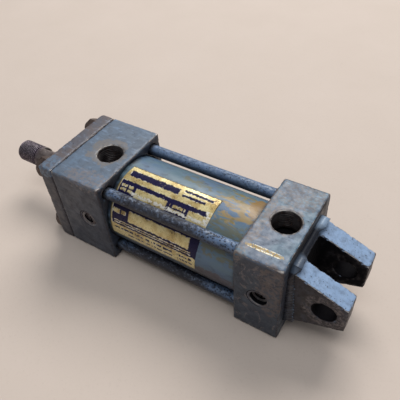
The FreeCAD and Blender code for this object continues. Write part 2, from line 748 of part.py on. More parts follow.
def build_piston():
    body = new_body("piston")
    front, back = "piston_front", "piston_back"
    lip, far_lip = f"{front} + lip_groove_start", f"{back} - lip_groove_start - lip_groove_width"
    band = "piston_middle - band_groove_width / 2"
    profile = [(front, "stub_radius + stub_play"), (front, "piston_radius")]
    grooves = (
        (lip, "lip_groove_width", "lip_groove_radius"),
        (band, "band_groove_width", "band_groove_radius"),
        (far_lip, "lip_groove_width", "lip_groove_radius"),
    )
    for start, width, floor in grooves:
        profile += [
            (start, "piston_radius"),
            (start, floor),
            (f"{start} + {width}", floor),
            (f"{start} + {width}", "piston_radius"),
        ]
    profile += [(back, "piston_radius"), (back, "stub_radius + stub_play")]
    turn(body, profile)

    inner, outer = "lip_groove_radius + seal_play", "bore_radius - seal_fit"
    for label, start, mouth in (("head_piston_seal", lip, -1), ("cap_piston_seal", far_lip, 1)):
        low, high = f"{start} + seal_play", f"{start} + lip_groove_width - seal_play"
        lip_seal(label, low, high, inner, outer, mouth)
    low, high = f"{band} + seal_play", f"{band} + band_groove_width - seal_play"
    ring("piston_wear_band", low, high, "band_groove_radius + seal_play", outer)


def build_cushion_sleeve():
    body = new_body("cushion_sleeve")
    front, back = "piston_front - sleeve_length", "piston_front"
    inner = "sleeve_seat_radius + stub_play"
    profile = [
        (front, inner),
        (front, "sleeve_radius - cushion_taper"),
        (f"{front} + cushion_taper_length", "sleeve_radius"),
        (back, "sleeve_radius"),
        (back, inner),
    ]
    turn(body, profile)


def build_cushion_spear():
    body = new_body("cushion_spear_nut")
    front, back = "piston_back", "piston_back + spear_length"
    inner = "stub_radius + stub_play"
    profile = [
        (front, inner),
        (front, "spear_radius"),
        (f"{back} - cushion_taper_length", "spear_radius"),
        (back, "spear_radius - cushion_taper"),
        (back, "0"),
        (f"{front} + spear_bore", "0"),
        (f"{front} + spear_bore", inner),
    ]
    turn(body, profile)


# ---- cushion needles -------------------------------------------------------------


def build_needle(end, station, shift):
    """Slotted needle screw, its O-ring and the clip that keeps it in."""
    body = new_body(f"{end}_cushion_needle")
    face = f"0 - half_width + needle_sink + {shift}"
    sketch = new_sketch(body, "XY_Plane", (station, face, "0"))
    profile = [
        ("0", "0"),
        ("needle_radius - needle_chamfer", "0"),
        ("needle_radius", "needle_chamfer"),
        ("needle_radius", "needle_body"),
        ("needle_stem_radius", "needle_body"),
        ("needle_stem_radius", "needle_groove_start"),
        ("needle_groove_radius", "needle_groove_start"),
        ("needle_groove_radius", "needle_groove_end"),
        ("needle_stem_radius", "needle_groove_end"),
        ("needle_stem_radius", "needle_stem_end"),
        ("needle_tip_radius", "needle_stem_end"),
        ("needle_tip_radius", "needle_tip_end"),
        ("needle_point_radius", "needle_point"),
        ("0", "needle_point"),
    ]
    draw_outline(sketch, profile)
    shank = add_feature(body, "Revolution", sketch)
    shank.ReferenceAxis = (sketch, ["V_Axis"])
    shank.Angle = 360
    doc.recompute()
    half_slot = "needle_slot_width / 2"
    slot = rectangle(f"0 - {half_slot}", f"0 - {OVERCUT}", half_slot, "needle_slot_depth")
    through_pocket(body, "XY_Plane", (station, face, "0"), outlines=[slot])

    middle = f"{face} + (needle_groove_start + needle_groove_end) / 2"
    section = "(needle_seal_radius - needle_groove_radius) / 2 - ring_squeeze"
    centre = "(needle_seal_radius + needle_groove_radius) / 2"
    torus(f"{end}_needle_o_ring", Vector(0, 1, 0), station, middle, centre, section)

    clip = new_body(f"{end}_needle_clip")
    sketch = new_sketch(clip, "XY_Plane", (station, f"0 - half_width + clip_sink + {shift}", "0"))
    draw_outline(sketch, rectangle("clip_inner", "0", "clip_outer", "clip_thickness"))
    band = add_feature(clip, "Revolution", sketch)
    band.ReferenceAxis = (sketch, ["V_Axis"])
    band.Angle = 360
    doc.recompute()
    half = "clip_opening / 2"
    gap = rectangle(f"0 - {half}", f"0 - {OVERCUT}", half, f"clip_thickness + {OVERCUT}")
    sketch = new_sketch(clip, "XY_Plane", (station, f"0 - half_width + clip_sink + {shift}", "0"))
    draw_outline(sketch, gap)
    pocket = add_feature(clip, "Pocket", sketch)
    pocket.Reversed = True
    bind(pocket, "Length", "clip_outer * 2")
    doc.recompute()


# ---- name plate ------------------------------------------------------------------


def build_name_plate():
    """Blank foil wrapped on the tube, from the top down the needle side."""
    sectors = []
    for radius, extra in (("tube_radius + plate_foil", 0), ("tube_radius", OVERCUT)):
        sector = doc.addObject("Part::Cylinder", "foil_sector")
        bind(sector, "Radius", radius)
        bind(sector, "Height", f"foil_length + 2 * {extra}")
        bind(sector, "Angle", "360" if extra else "foil_span")
        bind(sector, "Placement.Base.z", f"0 - {extra}")
        sectors.append(sector)
    foil = doc.addObject("Part::Cut", "name_plate")
    foil.Label = "name_plate"
    foil.Base, foil.Tool = sectors
    along_x = Rotation(Vector(0, 0, 1), Vector(1, 0, 0))
    from_top = Rotation(Vector(1, 0, 0), 180)
    foil.Placement = Placement(Vector(0, 0, 0), from_top * along_x)
    bind(foil, "Placement.Base.x", "head_back + foil_start")
    pieces.append(foil)


# ---- build, check and write ------------------------------------------------------


def check():
    for thing in doc.Objects:
        if {"Invalid", "Error"} & set(thing.State):
            raise RuntimeError(f"{thing.Label} failed: {thing.State}")
    for cut in cuts:
        removed = cut.BaseFeature.Shape.Volume - cut.Shape.Volume
        if removed < LEAST_CUT:
            raise RuntimeError(f"{cut.Label} cuts nothing")
    for piece in pieces:
        if piece.Shape.isNull() or not piece.Shape.isValid():
            raise RuntimeError(f"{piece.Label} has no valid shape")


def main():
    build_retainer_plate()
    build_head()
    build_cap()
    build_tube()
    build_tie_rods()
    build_tie_rod_nuts()
    build_clevis()
    build_clevis_weld()
    build_gland()
    build_cushion_seals()
    build_rod()
    build_piston()
    build_cushion_sleeve()
    build_cushion_spear()
    build_needle("head", "head_front + head_station", "0")
    build_needle("cap", "cap_front + cap_station", "cap_needle_shift")
    build_name_plate()
    doc.recompute()
    check()
    os.makedirs("parts", exist_ok=True)
    for piece in pieces:
        piece.Shape.exportStep(f"parts/{piece.Label}.step")
        print(f"{piece.Label}: {piece.Shape.Volume:.1f} mm3, {len(piece.Shape.Solids)} solid(s)")


main()
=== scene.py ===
import json
import math
from functools import reduce

import bmesh
import bpy
import numpy as np
from mathutils import Matrix, Vector


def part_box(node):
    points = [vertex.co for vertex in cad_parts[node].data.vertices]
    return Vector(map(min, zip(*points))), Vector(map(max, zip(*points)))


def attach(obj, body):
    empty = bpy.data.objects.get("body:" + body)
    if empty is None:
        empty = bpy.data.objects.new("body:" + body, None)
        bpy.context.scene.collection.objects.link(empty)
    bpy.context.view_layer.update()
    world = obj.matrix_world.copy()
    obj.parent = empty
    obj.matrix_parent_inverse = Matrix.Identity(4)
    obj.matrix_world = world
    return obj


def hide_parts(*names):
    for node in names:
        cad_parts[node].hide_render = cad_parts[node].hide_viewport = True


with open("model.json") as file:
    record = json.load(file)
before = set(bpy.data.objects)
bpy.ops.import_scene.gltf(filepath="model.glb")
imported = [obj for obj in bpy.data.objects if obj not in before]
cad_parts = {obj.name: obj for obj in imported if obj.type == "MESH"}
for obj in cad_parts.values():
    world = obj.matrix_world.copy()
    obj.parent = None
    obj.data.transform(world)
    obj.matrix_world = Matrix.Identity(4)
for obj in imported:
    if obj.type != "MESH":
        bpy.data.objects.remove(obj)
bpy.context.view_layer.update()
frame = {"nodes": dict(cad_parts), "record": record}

# Looks of a used tie-rod air cylinder. Metres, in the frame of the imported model:
# +X towards the clevis, -Y towards the cushion needles, +Z out of the ports.

MM = 0.001
INCH = 25.4 * MM
UP = (0, 0, 1)
NEAR = (0, -1, 0)
NODES = frame["nodes"]

plate_low, plate_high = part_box("retainer_plate")
head_low, head_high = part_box("head_block")
cap_low, cap_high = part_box("cap_block")
tube_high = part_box("cylinder_tube")[1]
clevis_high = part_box("clevis_bracket")[1]
rod_low, rod_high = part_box("piston_rod")
foil_low, foil_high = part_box("name_plate")
mounts = {mount["name"]: mount for mount in frame["record"]["mounts"]}
head_port = Vector(mounts["head_port"]["pos_m"])
cap_port = Vector(mounts["cap_port"]["pos_m"])
top_face = head_high.z
side_face = head_low.y


# ---- colours ----


def shade(red, green, blue):
    """Linear colour from 0-255 screen values."""
    def linear(value):
        value /= 255
        return value / 12.92 if value <= 0.04045 else ((value + 0.055) / 1.055) ** 2.4

    return (linear(red), linear(green), linear(blue), 1)


BLUE = shade(88, 108, 130)
TEAL = shade(90, 113, 126)
SKY = shade(138, 163, 196)
SLATE = shade(60, 68, 83)
# painted shade: dark grey laid on faces turned away from the top
SHADE_GREY = shade(35, 36, 48)
ROSY_STEEL = shade(118, 108, 106)
BROWN_STEEL = shade(84, 74, 72)
RUST = shade(92, 62, 46)
DARK_STEEL = shade(38, 34, 39)
# near black: soot in hollows, and painted shade in ports, bores, the clevis slot and under the tie rod
SOOT_AND_SHADE = shade(15, 13, 17)
# painted shade: deepest black, between the clevis ears
SLOT_SHADE = shade(8, 7, 12)
# bare steel on worn edges, also used as a painted highlight on edges and rims
BRIGHT_STEEL_AND_HIGHLIGHT = shade(186, 182, 178)
TAN = shade(156, 126, 54)
OLIVE = shade(104, 96, 52)
CREAM = shade(222, 208, 156)
FOIL_GOLD = shade(184, 158, 100)
NAVY = shade(22, 18, 56)
BRONZE = shade(128, 98, 58)
RUBBER = shade(22, 22, 24)


# ---- material recipes ----


class Recipe:
    """A material's node tree, built by short calls. Sizes are in millimetres."""

    def __init__(self, name, roughness=0.5, metallic=0.0, specular=0.5):
        self.material = bpy.data.materials.new(name)
        self.material.use_nodes = True
        self.tree = self.material.node_tree
        self.shader = self.tree.nodes["Principled BSDF"]
        self.set("Roughness", roughness)
        self.set("Metallic", metallic)
        self.set("Specular IOR Level", specular)
        self.place = self.node("ShaderNodeTexCoord").outputs["Object"]
        axes = self.node("ShaderNodeSeparateXYZ", {"Vector": self.place}).outputs
        self.x, self.y, self.z = axes["X"], axes["Y"], axes["Z"]

    def node(self, kind, inputs=None, **settings):
        made = self.tree.nodes.new(kind)
        for key, value in settings.items():
            setattr(made, key, value)
        for key, value in (inputs or {}).items():
            self.feed(made.inputs[key], value)
        return made

    def feed(self, socket, value):
        if isinstance(value, bpy.types.NodeSocket):
            self.tree.links.new(value, socket)
        else:
            socket.default_value = value

    def set(self, name, value):
        self.feed(self.shader.inputs[name], value)

    def coat(self, colour, mask, strength=1):
        """A colour over those laid before it, where the mask is 1."""
        base = self.shader.inputs["Base Color"]
        cover = mask if strength == 1 else self.times(mask, strength)
        self.feed(base, self.mix(cover, base.links[0].from_socket, colour))

    def moved(self, location, stretch=(1, 1, 1)):
        inputs = {"Vector": self.place, "Location": location, "Scale": stretch}
        return self.node("ShaderNodeMapping", inputs).outputs["Vector"]

    def noise(self, size, detail=4.0, roughness=0.55, stretch=(1, 1, 1), shift=0.0, twist=0.0):
        """Cloudy noise from 0 to 1, with blotches of about this size."""
        place = self.moved((shift, shift * 0.7, -shift), stretch)
        inputs = {"Vector": place, "Scale": 1 / (size * MM), "Detail": detail}
        inputs.update({"Roughness": roughness, "Distortion": twist})
        return self.node("ShaderNodeTexNoise", inputs).outputs["Fac"]

    def cells(self, size, shift=0.0):
        """Distance to the middle of the nearest of many small cells."""
        inputs = {"Vector": self.moved((shift, shift, shift)), "Scale": 1 / (size * MM)}
        return self.node("ShaderNodeTexVoronoi", inputs).outputs["Distance"]

    def attribute(self, name):
        return self.node("ShaderNodeAttribute", attribute_name=name).outputs["Fac"]

    def math(self, operation, *values):
        made = self.node("ShaderNodeMath", operation=operation)
        for socket, value in zip(made.inputs, values):
            self.feed(socket, value)
        return made.outputs[0]

    def chain(self, operation, values):
        return reduce(lambda total, value: self.math(operation, total, value), values)

    def add(self, *values):
        return self.chain("ADD", values)

    def times(self, *values):
        return self.chain("MULTIPLY", values)

    def either(self, *values):
        """The largest of some masks."""
        return self.chain("MAXIMUM", values)

    def minus(self, first, second):
        return self.math("SUBTRACT", first, second)

    def swing(self, value, amount):
        """A noise swung about zero, by up to half the amount."""
        return self.times(self.minus(value, 0.5), amount)

    def absolute(self, value):
        return self.math("ABSOLUTE", value)

    def off(self, value, middle):
        """How far a value is from a middle, either way."""
        return self.absolute(self.minus(value, middle))

    def ramp(self, value, low, high, out_low=0.0, out_high=1.0):
        """Smooth step from out_low to out_high as value goes from low to high."""
        inputs = {"Value": value, "From Min": low, "From Max": high}
        inputs.update({"To Min": out_low, "To Max": out_high})
        made = self.node("ShaderNodeMapRange", inputs, interpolation_type="SMOOTHSTEP")
        return made.outputs["Result"]

    def mix(self, factor, first, second):
        made = self.node("ShaderNodeMix", data_type="RGBA")
        for index, value in ((0, factor), (6, first), (7, second)):
            self.feed(made.inputs[index], value)
        return made.outputs[2]

    def spot(self, centre, radii, ragged=0.35, size=4.0, shift=0.0):
        """Mask that is 1 inside a ragged ellipsoid; centre in metres, radii in millimetres."""
        squares = []
        for axis, middle, radius in zip((self.x, self.y, self.z), centre, radii):
            part = self.times(self.minus(axis, middle), 1 / (radius * MM))
            squares.append(self.times(part, part))
        wobble = self.swing(self.noise(size, shift=shift), ragged * 4)
        return self.ramp(self.add(*squares, wobble), 1.15, 0.85)

    def away(self, axes, centre):
        """Distance in the plane of two axes from a centre, in metres."""
        offsets = [self.minus(getattr(self, axis), middle) for axis, middle in zip(axes, centre)]
        return self.math("SQRT", self.add(*(self.times(offset, offset) for offset in offsets)))

    def within(self, value, limit, soft=0.3):
        """1 where value is under the limit; soft is the width of the change in millimetres."""
        return self.ramp(value, limit + soft * MM, limit - soft * MM)

    def facing(self, direction, low, high):
        """Mask of the faces that look along a direction of the part."""
        normal = self.node("ShaderNodeNewGeometry").outputs["Normal"]
        inputs = {0: normal, 1: direction}
        dot = self.node("ShaderNodeVectorMath", inputs, operation="DOT_PRODUCT")
        return self.ramp(dot.outputs["Value"], low, high)

    def bump(self, height, distance, strength=1.0):
        """Bump of this depth in millimetres; further calls stack on the first."""
        inputs = {"Height": height, "Distance": distance * MM, "Strength": strength}
        made = self.node("ShaderNodeBump", inputs)
        below = self.shader.inputs["Normal"].links
        if below:
            self.feed(made.inputs["Normal"], below[0].from_socket)
        self.feed(self.shader.inputs["Normal"], made.outputs["Normal"])


def painted(name, fresh, faded, wear, pits, grime, rub, seed, features):
    """Old enamel over steel: faded blotches, rubbed patches, chipped edges, pits and grime, with a painted
    highlight on edges that face up and painted shade on faces turned away from the top.

    features are layers over everything else: mask function, colour and what the function is given.
    """
    make = Recipe(name)
    edge, hollow = make.attribute("edge"), make.attribute("hollow")
    broad = make.noise(15, detail=3, shift=seed + 1, twist=0.5)
    mid = make.noise(4.2, detail=7, roughness=0.66, shift=seed + 2)
    fine = make.noise(0.8, detail=5, roughness=0.7, shift=seed + 3)
    streaks = make.noise(2.4, detail=6, roughness=0.62, stretch=(0.3, 1, 1), shift=seed + 4)

    make.set("Base Color", make.mix(make.ramp(broad, 0.36, 0.64), fresh, faded))
    mottled = make.ramp(make.add(mid, make.times(fine, 0.35)), 0.58, 0.88)
    make.coat(SLATE, mottled, 0.5)
    paled = make.ramp(make.add(streaks, make.times(fine, 0.2)), 0.62, 0.8)
    make.coat(SKY, paled, 0.3)
    patch = make.add(make.times(broad, 0.5), make.times(streaks, 0.6))
    rubbed = make.ramp(patch, 0.71 - 0.2 * rub, 0.87 - 0.16 * rub)
    make.coat(ROSY_STEEL, rubbed, 0.75)

    ragged = make.add(edge, make.swing(mid, 1.2), make.swing(fine, 0.6))
    worn = make.ramp(ragged, 0.66 - 0.4 * wear, 0.8 - 0.4 * wear)
    make.coat(make.mix(make.ramp(fine, 0.4, 0.62), BROWN_STEEL, ROSY_STEEL), worn, 0.85)
    # bare steel on worn edges, kept to edges that face up: a painted highlight
    edge_wear_and_highlight = make.ramp(make.add(edge, make.times(mid, 0.6)), 0.95, 1.15)
    edge_wear_and_highlight = make.times(edge_wear_and_highlight, make.facing((0, -0.4, 0.9), 0.3, 0.8))
    make.coat(BRIGHT_STEEL_AND_HIGHLIGHT, edge_wear_and_highlight, min(0.8, 2 * wear))

    speck = make.add(make.minus(1.0, make.cells(1.7, shift=seed + 5)), make.times(mid, 0.6))
    pitted = make.ramp(speck, 1.3 - 0.3 * pits, 1.38 - 0.3 * pits)
    make.coat(DARK_STEEL, pitted, 0.85)

    # painted shade: dark grey on faces turned away from the top, stronger as grime rises
    turned_away_shade = make.ramp(mid, 0.28, 0.75, 0.86 * grime, 0.98 * grime)
    make.coat(SHADE_GREY, make.times(make.facing(UP, 0.55, -0.1), turned_away_shade))
    dirt = make.add(hollow, make.swing(mid, 0.8))
    dirty = make.ramp(dirt, 0.5 - 0.35 * grime, 0.95 - 0.35 * grime)
    make.coat(SOOT_AND_SHADE, dirty, 0.85)

    # where the near black layers lie, mostly painted shade, the surface is made rougher and less glossy
    painted_shade_cover = 0.0
    for mask, layer_colour, *given in features:
        cover = mask(make, *given)
        make.coat(layer_colour, cover)
        if layer_colour in (SOOT_AND_SHADE, SLOT_SHADE):
            painted_shade_cover = make.either(painted_shade_cover, cover)

    rough = make.minus(make.ramp(mid, 0.3, 0.7, 0.36, 0.58), make.times(worn, 0.1))
    rough = make.add(rough, make.times(make.either(pitted, dirty), 0.25))
    make.set("Roughness", make.either(rough, make.times(painted_shade_cover, 0.85)))
    make.set("Specular IOR Level", make.ramp(painted_shade_cover, 0, 1, 0.5, 0.1))
    make.set("Metallic", make.times(worn, 0.4))
    relief = make.minus(make.times(mid, 0.5), make.times(pitted, 0.9))
    make.bump(make.minus(relief, make.times(worn, 0.35)), 0.12)
    make.bump(fine, 0.05, 0.7)
    return make.material


def plain_steel(name, light, dark, roughness, metallic, grain, grime, seed):
    """Unpainted steel: machining grain, stains and grime in the hollows."""
    make = Recipe(name, metallic=metallic)
    stain = make.noise(5, detail=5, shift=seed + 1)
    lines = make.noise(0.5, detail=3, stretch=grain, shift=seed + 2)
    fine = make.noise(0.7, detail=4, shift=seed + 3)
    make.set("Base Color", make.mix(make.ramp(stain, 0.35, 0.65), light, dark))
    make.coat(RUST, make.ramp(make.add(fine, make.times(stain, 0.6)), 0.86, 0.98), 0.7)
    dirty = make.ramp(make.attribute("hollow"), 0.5 - 0.4 * grime, 1.0 - 0.4 * grime)
    make.coat(SOOT_AND_SHADE, dirty, 0.85)
    make.set("Roughness", make.ramp(stain, 0.3, 0.7, roughness - 0.1, roughness + 0.14))
    make.bump(lines, 0.04, 0.6)
    make.bump(fine, 0.05, 0.5)
    return make.material


# ---- meshes ----


def add_object(name, data):
    made = bpy.data.objects.new(name, data)
    bpy.context.scene.collection.objects.link(made)
    return made


def new_object(name, vertices, faces):
    """Mesh object with its faces turned outwards."""
    mesh = bpy.data.meshes.new(name)
    mesh.from_pydata([tuple(point) for point in vertices], [], faces)
    mesh.validate()
    work = bmesh.new()
    work.from_mesh(mesh)
    bmesh.ops.recalc_face_normals(work, faces=work.faces)
    work.to_mesh(mesh)
    work.free()
    return add_object(name, mesh)


def grid_faces(*grids):
    """Four-sided faces between the neighbours in arrays of vertex numbers."""
    faces = []
    for grid in grids:
        corners = grid[:-1, :-1], grid[:-1, 1:], grid[1:, 1:], grid[1:, :-1]
        faces += np.stack(corners, -1).reshape(-1, 4).tolist()
    return faces


def finish_piece(piece, material, replaces=None, body="cylinder"):
    """Shading, material and body of one piece; hides the CAD node it replaces."""
    mesh = piece.data
    mesh.shade_smooth()
    mesh.materials.clear()
    mesh.materials.append(material)
    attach(piece, body)
    if replaces:
        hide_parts(replaces)


def set_attribute(mesh, name, values):
    layer = mesh.attributes.new(name, "FLOAT", "POINT")
    layer.data.foreach_set("value", np.asarray(values, np.float32))


def read_vectors(items, key):
    found = np.empty(len(items) * 3, np.float32)
    items.foreach_get(key, found)
    return found.reshape(-1, 3).astype(float)


def points_and_normals(mesh):
    return read_vectors(mesh.vertices, "co"), read_vectors(mesh.vertex_normals, "vector")


def push_in(mesh, depth):
    """Moves each vertex against its normal, by a depth for each."""
    points, normals = points_and_normals(mesh)
    moved = points - normals * depth[:, None]
    mesh.vertices.foreach_set("co", moved.astype(np.float32).ravel())
    mesh.update()


def neighbour_average(mesh, values, rounds):
    """values (a column per quantity) averaged over neighbouring vertices, rounds times."""
    ends = np.empty(len(mesh.edges) * 2, np.int32)
    mesh.edges.foreach_get("vertices", ends)
    first, second = ends.reshape(-1, 2).T
    count = len(values)
    degree = np.bincount(ends, minlength=count)[:, None].clip(1)
    for _ in range(rounds):
        totals = [
            np.bincount(first, column[second], count) + np.bincount(second, column[first], count)
            for column in values.T
        ]
        values = np.stack(totals, 1) / degree
    return values


def ripple_noise(points, size, seed):
    """Smooth pseudo-random field about zero, with features of about this size in metres."""
    waves = 14
    random = np.random.default_rng(seed)
    directions = random.normal(size=(waves, 3))
    directions /= np.linalg.norm(directions, axis=1)[:, None]
    pitch = size * random.uniform(0.7, 1.8, waves)
    phase = random.uniform(0, 2 * math.pi, waves)
    turns = points @ (directions / pitch[:, None]).T * 2 * math.pi + phase
    return np.sin(turns).sum(1) / math.sqrt(waves)


def wear_attributes(mesh, reach, scale):
    """Adds edge and hollow: how far each point stands out of, or lies in, its surroundings."""
    points, normals = points_and_normals(mesh)
    stand = ((points - neighbour_average(mesh, points, reach)) * normals).sum(1) / scale
    set_attribute(mesh, "edge", stand.clip(0, 1))
    set_attribute(mesh, "hollow", (-stand).clip(0, 1))
    return stand.clip(0, 1)


def worn_copy(node, chip, rough, seed):
    """A finely meshed copy of a CAD node with rounded, chipped edges and uneven faces."""
    copy = add_object(node + "_worn", NODES[node].data.copy())
    remesh = copy.modifiers.new("remesh", "REMESH")
    remesh.mode = "VOXEL"
    remesh.voxel_size = VOXEL
    bpy.context.view_layer.update()
    graph = bpy.context.evaluated_depsgraph_get()
    mesh = bpy.data.meshes.new_from_object(copy.evaluated_get(graph))
    copy.modifiers.clear()
    copy.data = mesh
    mesh.shade_smooth()
    edge = wear_attributes(mesh, EDGE_REACH, EDGE_HEIGHT)
    points = read_vectors(mesh.vertices, "co")
    nicks = ripple_noise(points, 5 * MM, seed) * 0.6 + ripple_noise(points, 1.8 * MM, seed + 1) * 0.6
    uneven = ripple_noise(points, 7 * MM, seed + 2) + 0.5 * ripple_noise(points, 2.2 * MM, seed + 3)
    chipped = edge * chip * (0.35 + nicks.clip(0, 2))
    push_in(mesh, chipped + rough * (0.5 + 0.35 * uneven).clip(0, 1.2))
    return copy


def ease_needle_bore(piece, place):
    """Opens a needle's bore a little, so that its rounded copy stays clear of the moving needle."""
    points = read_vectors(piece.data.vertices, "co")
    off_axis = np.hypot(points[:, 0] - place.x, points[:, 2])
    depth = points[:, 1] - side_face
    bore = (off_axis < 6.5 * MM) & (depth > 1.5 * MM) & (depth < 23.7 * MM)
    shoulder = bore & (off_axis > 3.8 * MM) & (depth > 7 * MM) & (depth < 13 * MM)
    push_in(piece.data, 0.22 * MM * bore + 0.35 * MM * shoulder)


def divided(profile, step):
    """The (x, radius) profile with its runs divided to at most step."""
    rows = [profile[0]]
    for start, end in zip(profile, profile[1:]):
        length = math.dist(start, end)
        pieces = max(1, math.ceil(length / step))
        for index in range(1, pieces + 1):
            part = index / pieces
            rows.append(tuple(a + (b - a) * part for a, b in zip(start, end)))
    return rows


def turned_points(x, angle, radius):
    return np.stack([x * np.ones_like(angle), radius * np.sin(angle), radius * np.cos(angle)], -1)


def turned_noise(x, angle, radius, size, seed):
    """ripple_noise over a turned surface."""
    points = turned_points(x, angle, radius).reshape(-1, 3)
    return ripple_noise(points, size, seed).reshape(radius.shape)


def lathe(name, rows, segments, shape, centre=(0.0, 0.0)):
    """Closed turning about an axis along X. shape(x, angle, radius) works the radius."""
    x, radius = (np.array(column)[:, None] for column in zip(*rows))
    angle = np.linspace(0, 2 * math.pi, segments, endpoint=False)[None, :]
    grid = turned_points(x, angle, shape(x, angle, radius * np.ones_like(angle)))
    vertices = list((grid + (0, *centre)).reshape(-1, 3))
    numbers = np.arange(len(vertices)).reshape(len(rows), segments)
    faces = grid_faces(np.pad(numbers, ((0, 0), (0, 1)), mode="wrap"))
    for end in (0, -1):
        rim = numbers[end].tolist()
        faces += [(first, second, len(vertices)) for first, second in zip(rim, rim[1:] + rim[:1])]
        vertices.append((rows[end][0], *centre))
    return new_object(name, vertices, faces)


def thread_cut(x, angle, pitch, depth, start, end):
    """How deep a right-hand thread cuts at each point, fading in at both ends."""
    turn = (x / pitch - angle / (2 * math.pi)) % 1
    groove = (1 - np.abs(turn - 0.5) * 2.35).clip(0, 1)
    fade = ((x - start) / pitch).clip(0, 1) * ((end - x) / pitch).clip(0, 1)
    return groove * depth * fade


# ---- pieces ----

VOXEL = 0.55 * MM
EDGE_REACH = 8  # rounds of averaging that tell an edge from a face
EDGE_HEIGHT = 0.42 * MM

THREAD_PITCH = INCH / 18  # piston rod and ports
TIE_ROD_PITCH = INCH / 24
TIE_ROD_RADIUS = 3.65 * MM  # between its threads
ROD_RADIUS = 7.9375 * MM
ROD_THREAD = 16.9 * MM  # length with its chamfer
ROD_THREAD_RADIUS = 7.87 * MM
THREAD_RELIEF = 1.2 * MM
THREAD_RELIEF_RADIUS = 7.1 * MM
FLAT_START = 37.4 * MM  # wrench flats, from the plate's front face
FLAT_END = 24.4 * MM
FLAT_HALF = 6.35 * MM  # half of the distance across them
FLAT_TURN = math.radians(48)
SLEEVE_SEAT = 14 * MM  # length of the rod's step inside the cushion sleeve
SLEEVE_SEAT_RADIUS = 7 * MM
PISTON_SEAT = 35.6 * MM  # length of the rod's step inside the piston and the spear
PISTON_SEAT_RADIUS = 6.35 * MM


def shaded_port_wall(make, place):
    """Painted shade on the wall below the mouth of a port."""
    return make.times(
        make.within(make.away("xy", place), 9.2 * MM),
        make.ramp(make.z, top_face - 0.35 * MM, top_face - 1.1 * MM), make.ramp(make.z, 4 * MM, 6 * MM),
    )


def shaded_needle_bore(make, place):
    """Painted shade on the wall below the mouth of a needle's bore."""
    return make.times(
        make.within(make.away("xz", (place.x, 0)), 5.9 * MM),
        make.ramp(make.y, side_face + 0.1 * MM, side_face + 0.9 * MM), make.ramp(make.y, -6 * MM, -8 * MM),
    )


def needle_ring(make, place, radius, half_width, strength):
    """Band round the mouth of a needle's bore, stronger on the side away from the cap."""
    return make.times(
        make.within(make.off(make.away("xz", (place.x, 0)), radius * MM), half_width * MM, 0.25),
        make.ramp(make.y, side_face + 1.6 * MM, side_face + 1.2 * MM, 0, strength),
        make.ramp(make.x, place.x + 5 * MM, place.x - 1 * MM, 0.35, 1),
    )


def inside(place):
    """Layers for the port and the needle's bore of a block, which are at the same x: painted shade inside
    both, a grey band and a dark painted shadow band round the bore's mouth.
    """
    return [
        (shaded_port_wall, SOOT_AND_SHADE, place), (needle_ring, shade(72, 72, 84), place, 6.2, 0.5, 0.9),
        (needle_ring, SOOT_AND_SHADE, place, 6.75, 0.3, 0.85), (shaded_needle_bore, SOOT_AND_SHADE, place),
    ]


def rim(make, place):
    """Thin bright ring on the chamfer of a port's mouth: a painted highlight."""
    return make.times(
        make.within(make.off(make.away("xy", place), 8.75 * MM), 0.25 * MM, 0.15),
        make.ramp(make.z, top_face - 1.4 * MM, top_face),
        make.ramp(make.noise(3, shift=8), 0.4, 0.6, 0.1, 0.8),
    )


def port_stain(make, place, reach):
    """Dirt rubbed into the top face round a port."""
    middle = (place.x - 2 * MM, place.y + 1 * MM, top_face)
    ring = make.spot(middle, (reach, reach, 6), ragged=0.7, size=6)
    return make.times(ring, make.ramp(make.noise(1.6, detail=5, shift=4), 0.3, 0.6, 0.35, 0.75))


def patch(make, middle, radii, ragged, strength, shift):
    """Ragged blotch; the middle is in metres and the radii are in millimetres."""
    blotch = make.spot(middle, radii, ragged, size=4, shift=shift)
    broken = make.ramp(make.noise(1.8, detail=6, shift=shift + 1), 0.34, 0.6)
    return make.times(blotch, broken, strength)


def scrape(make, offset, wide, long, shift):
    """Long thin chips in the paint of the cap's top, near its needle side."""
    middle = (cap_low.x + 14.6 * MM, (-23.4 + offset) * MM, top_face)
    spot = make.spot(middle, (long, wide, 4), ragged=0.55, size=2.0, shift=shift)
    return make.times(spot, make.ramp(make.noise(0.9, shift=shift), 0.36, 0.52))


def scratches(make):
    """Curly scratches on the needle side."""
    lines = make.noise(3.0, detail=6, roughness=0.75, stretch=(0.5, 1, 0.35), shift=7, twist=1.4)
    return make.times(make.ramp(lines, 0.56, 0.62), make.facing(NEAR, 0.6, 0.9), 0.6)


def shadow_above_weld(make):
    """Painted shadow: a dark strip on the cap's rear face, over the weld."""
    return make.times(
        make.ramp(make.absolute(make.y), 27 * MM, 24 * MM), make.ramp(make.z, 20 * MM, 23 * MM),
        make.ramp(make.x, cap_high.x - 0.7 * MM, cap_high.x - 0.4 * MM), 0.93,
    )


def back_edge_wear_and_highlight(make):
    """Bright wear along the top rear edge of the cap, also a painted highlight."""
    return make.times(
        make.ramp(make.x, cap_high.x - 0.9 * MM, cap_high.x - 0.6 * MM),
        make.ramp(make.z, top_face - 0.45 * MM, top_face - 0.3 * MM),
        make.ramp(make.noise(2.2, detail=5, shift=21), 0.42, 0.62, 0, 0.8),
    )


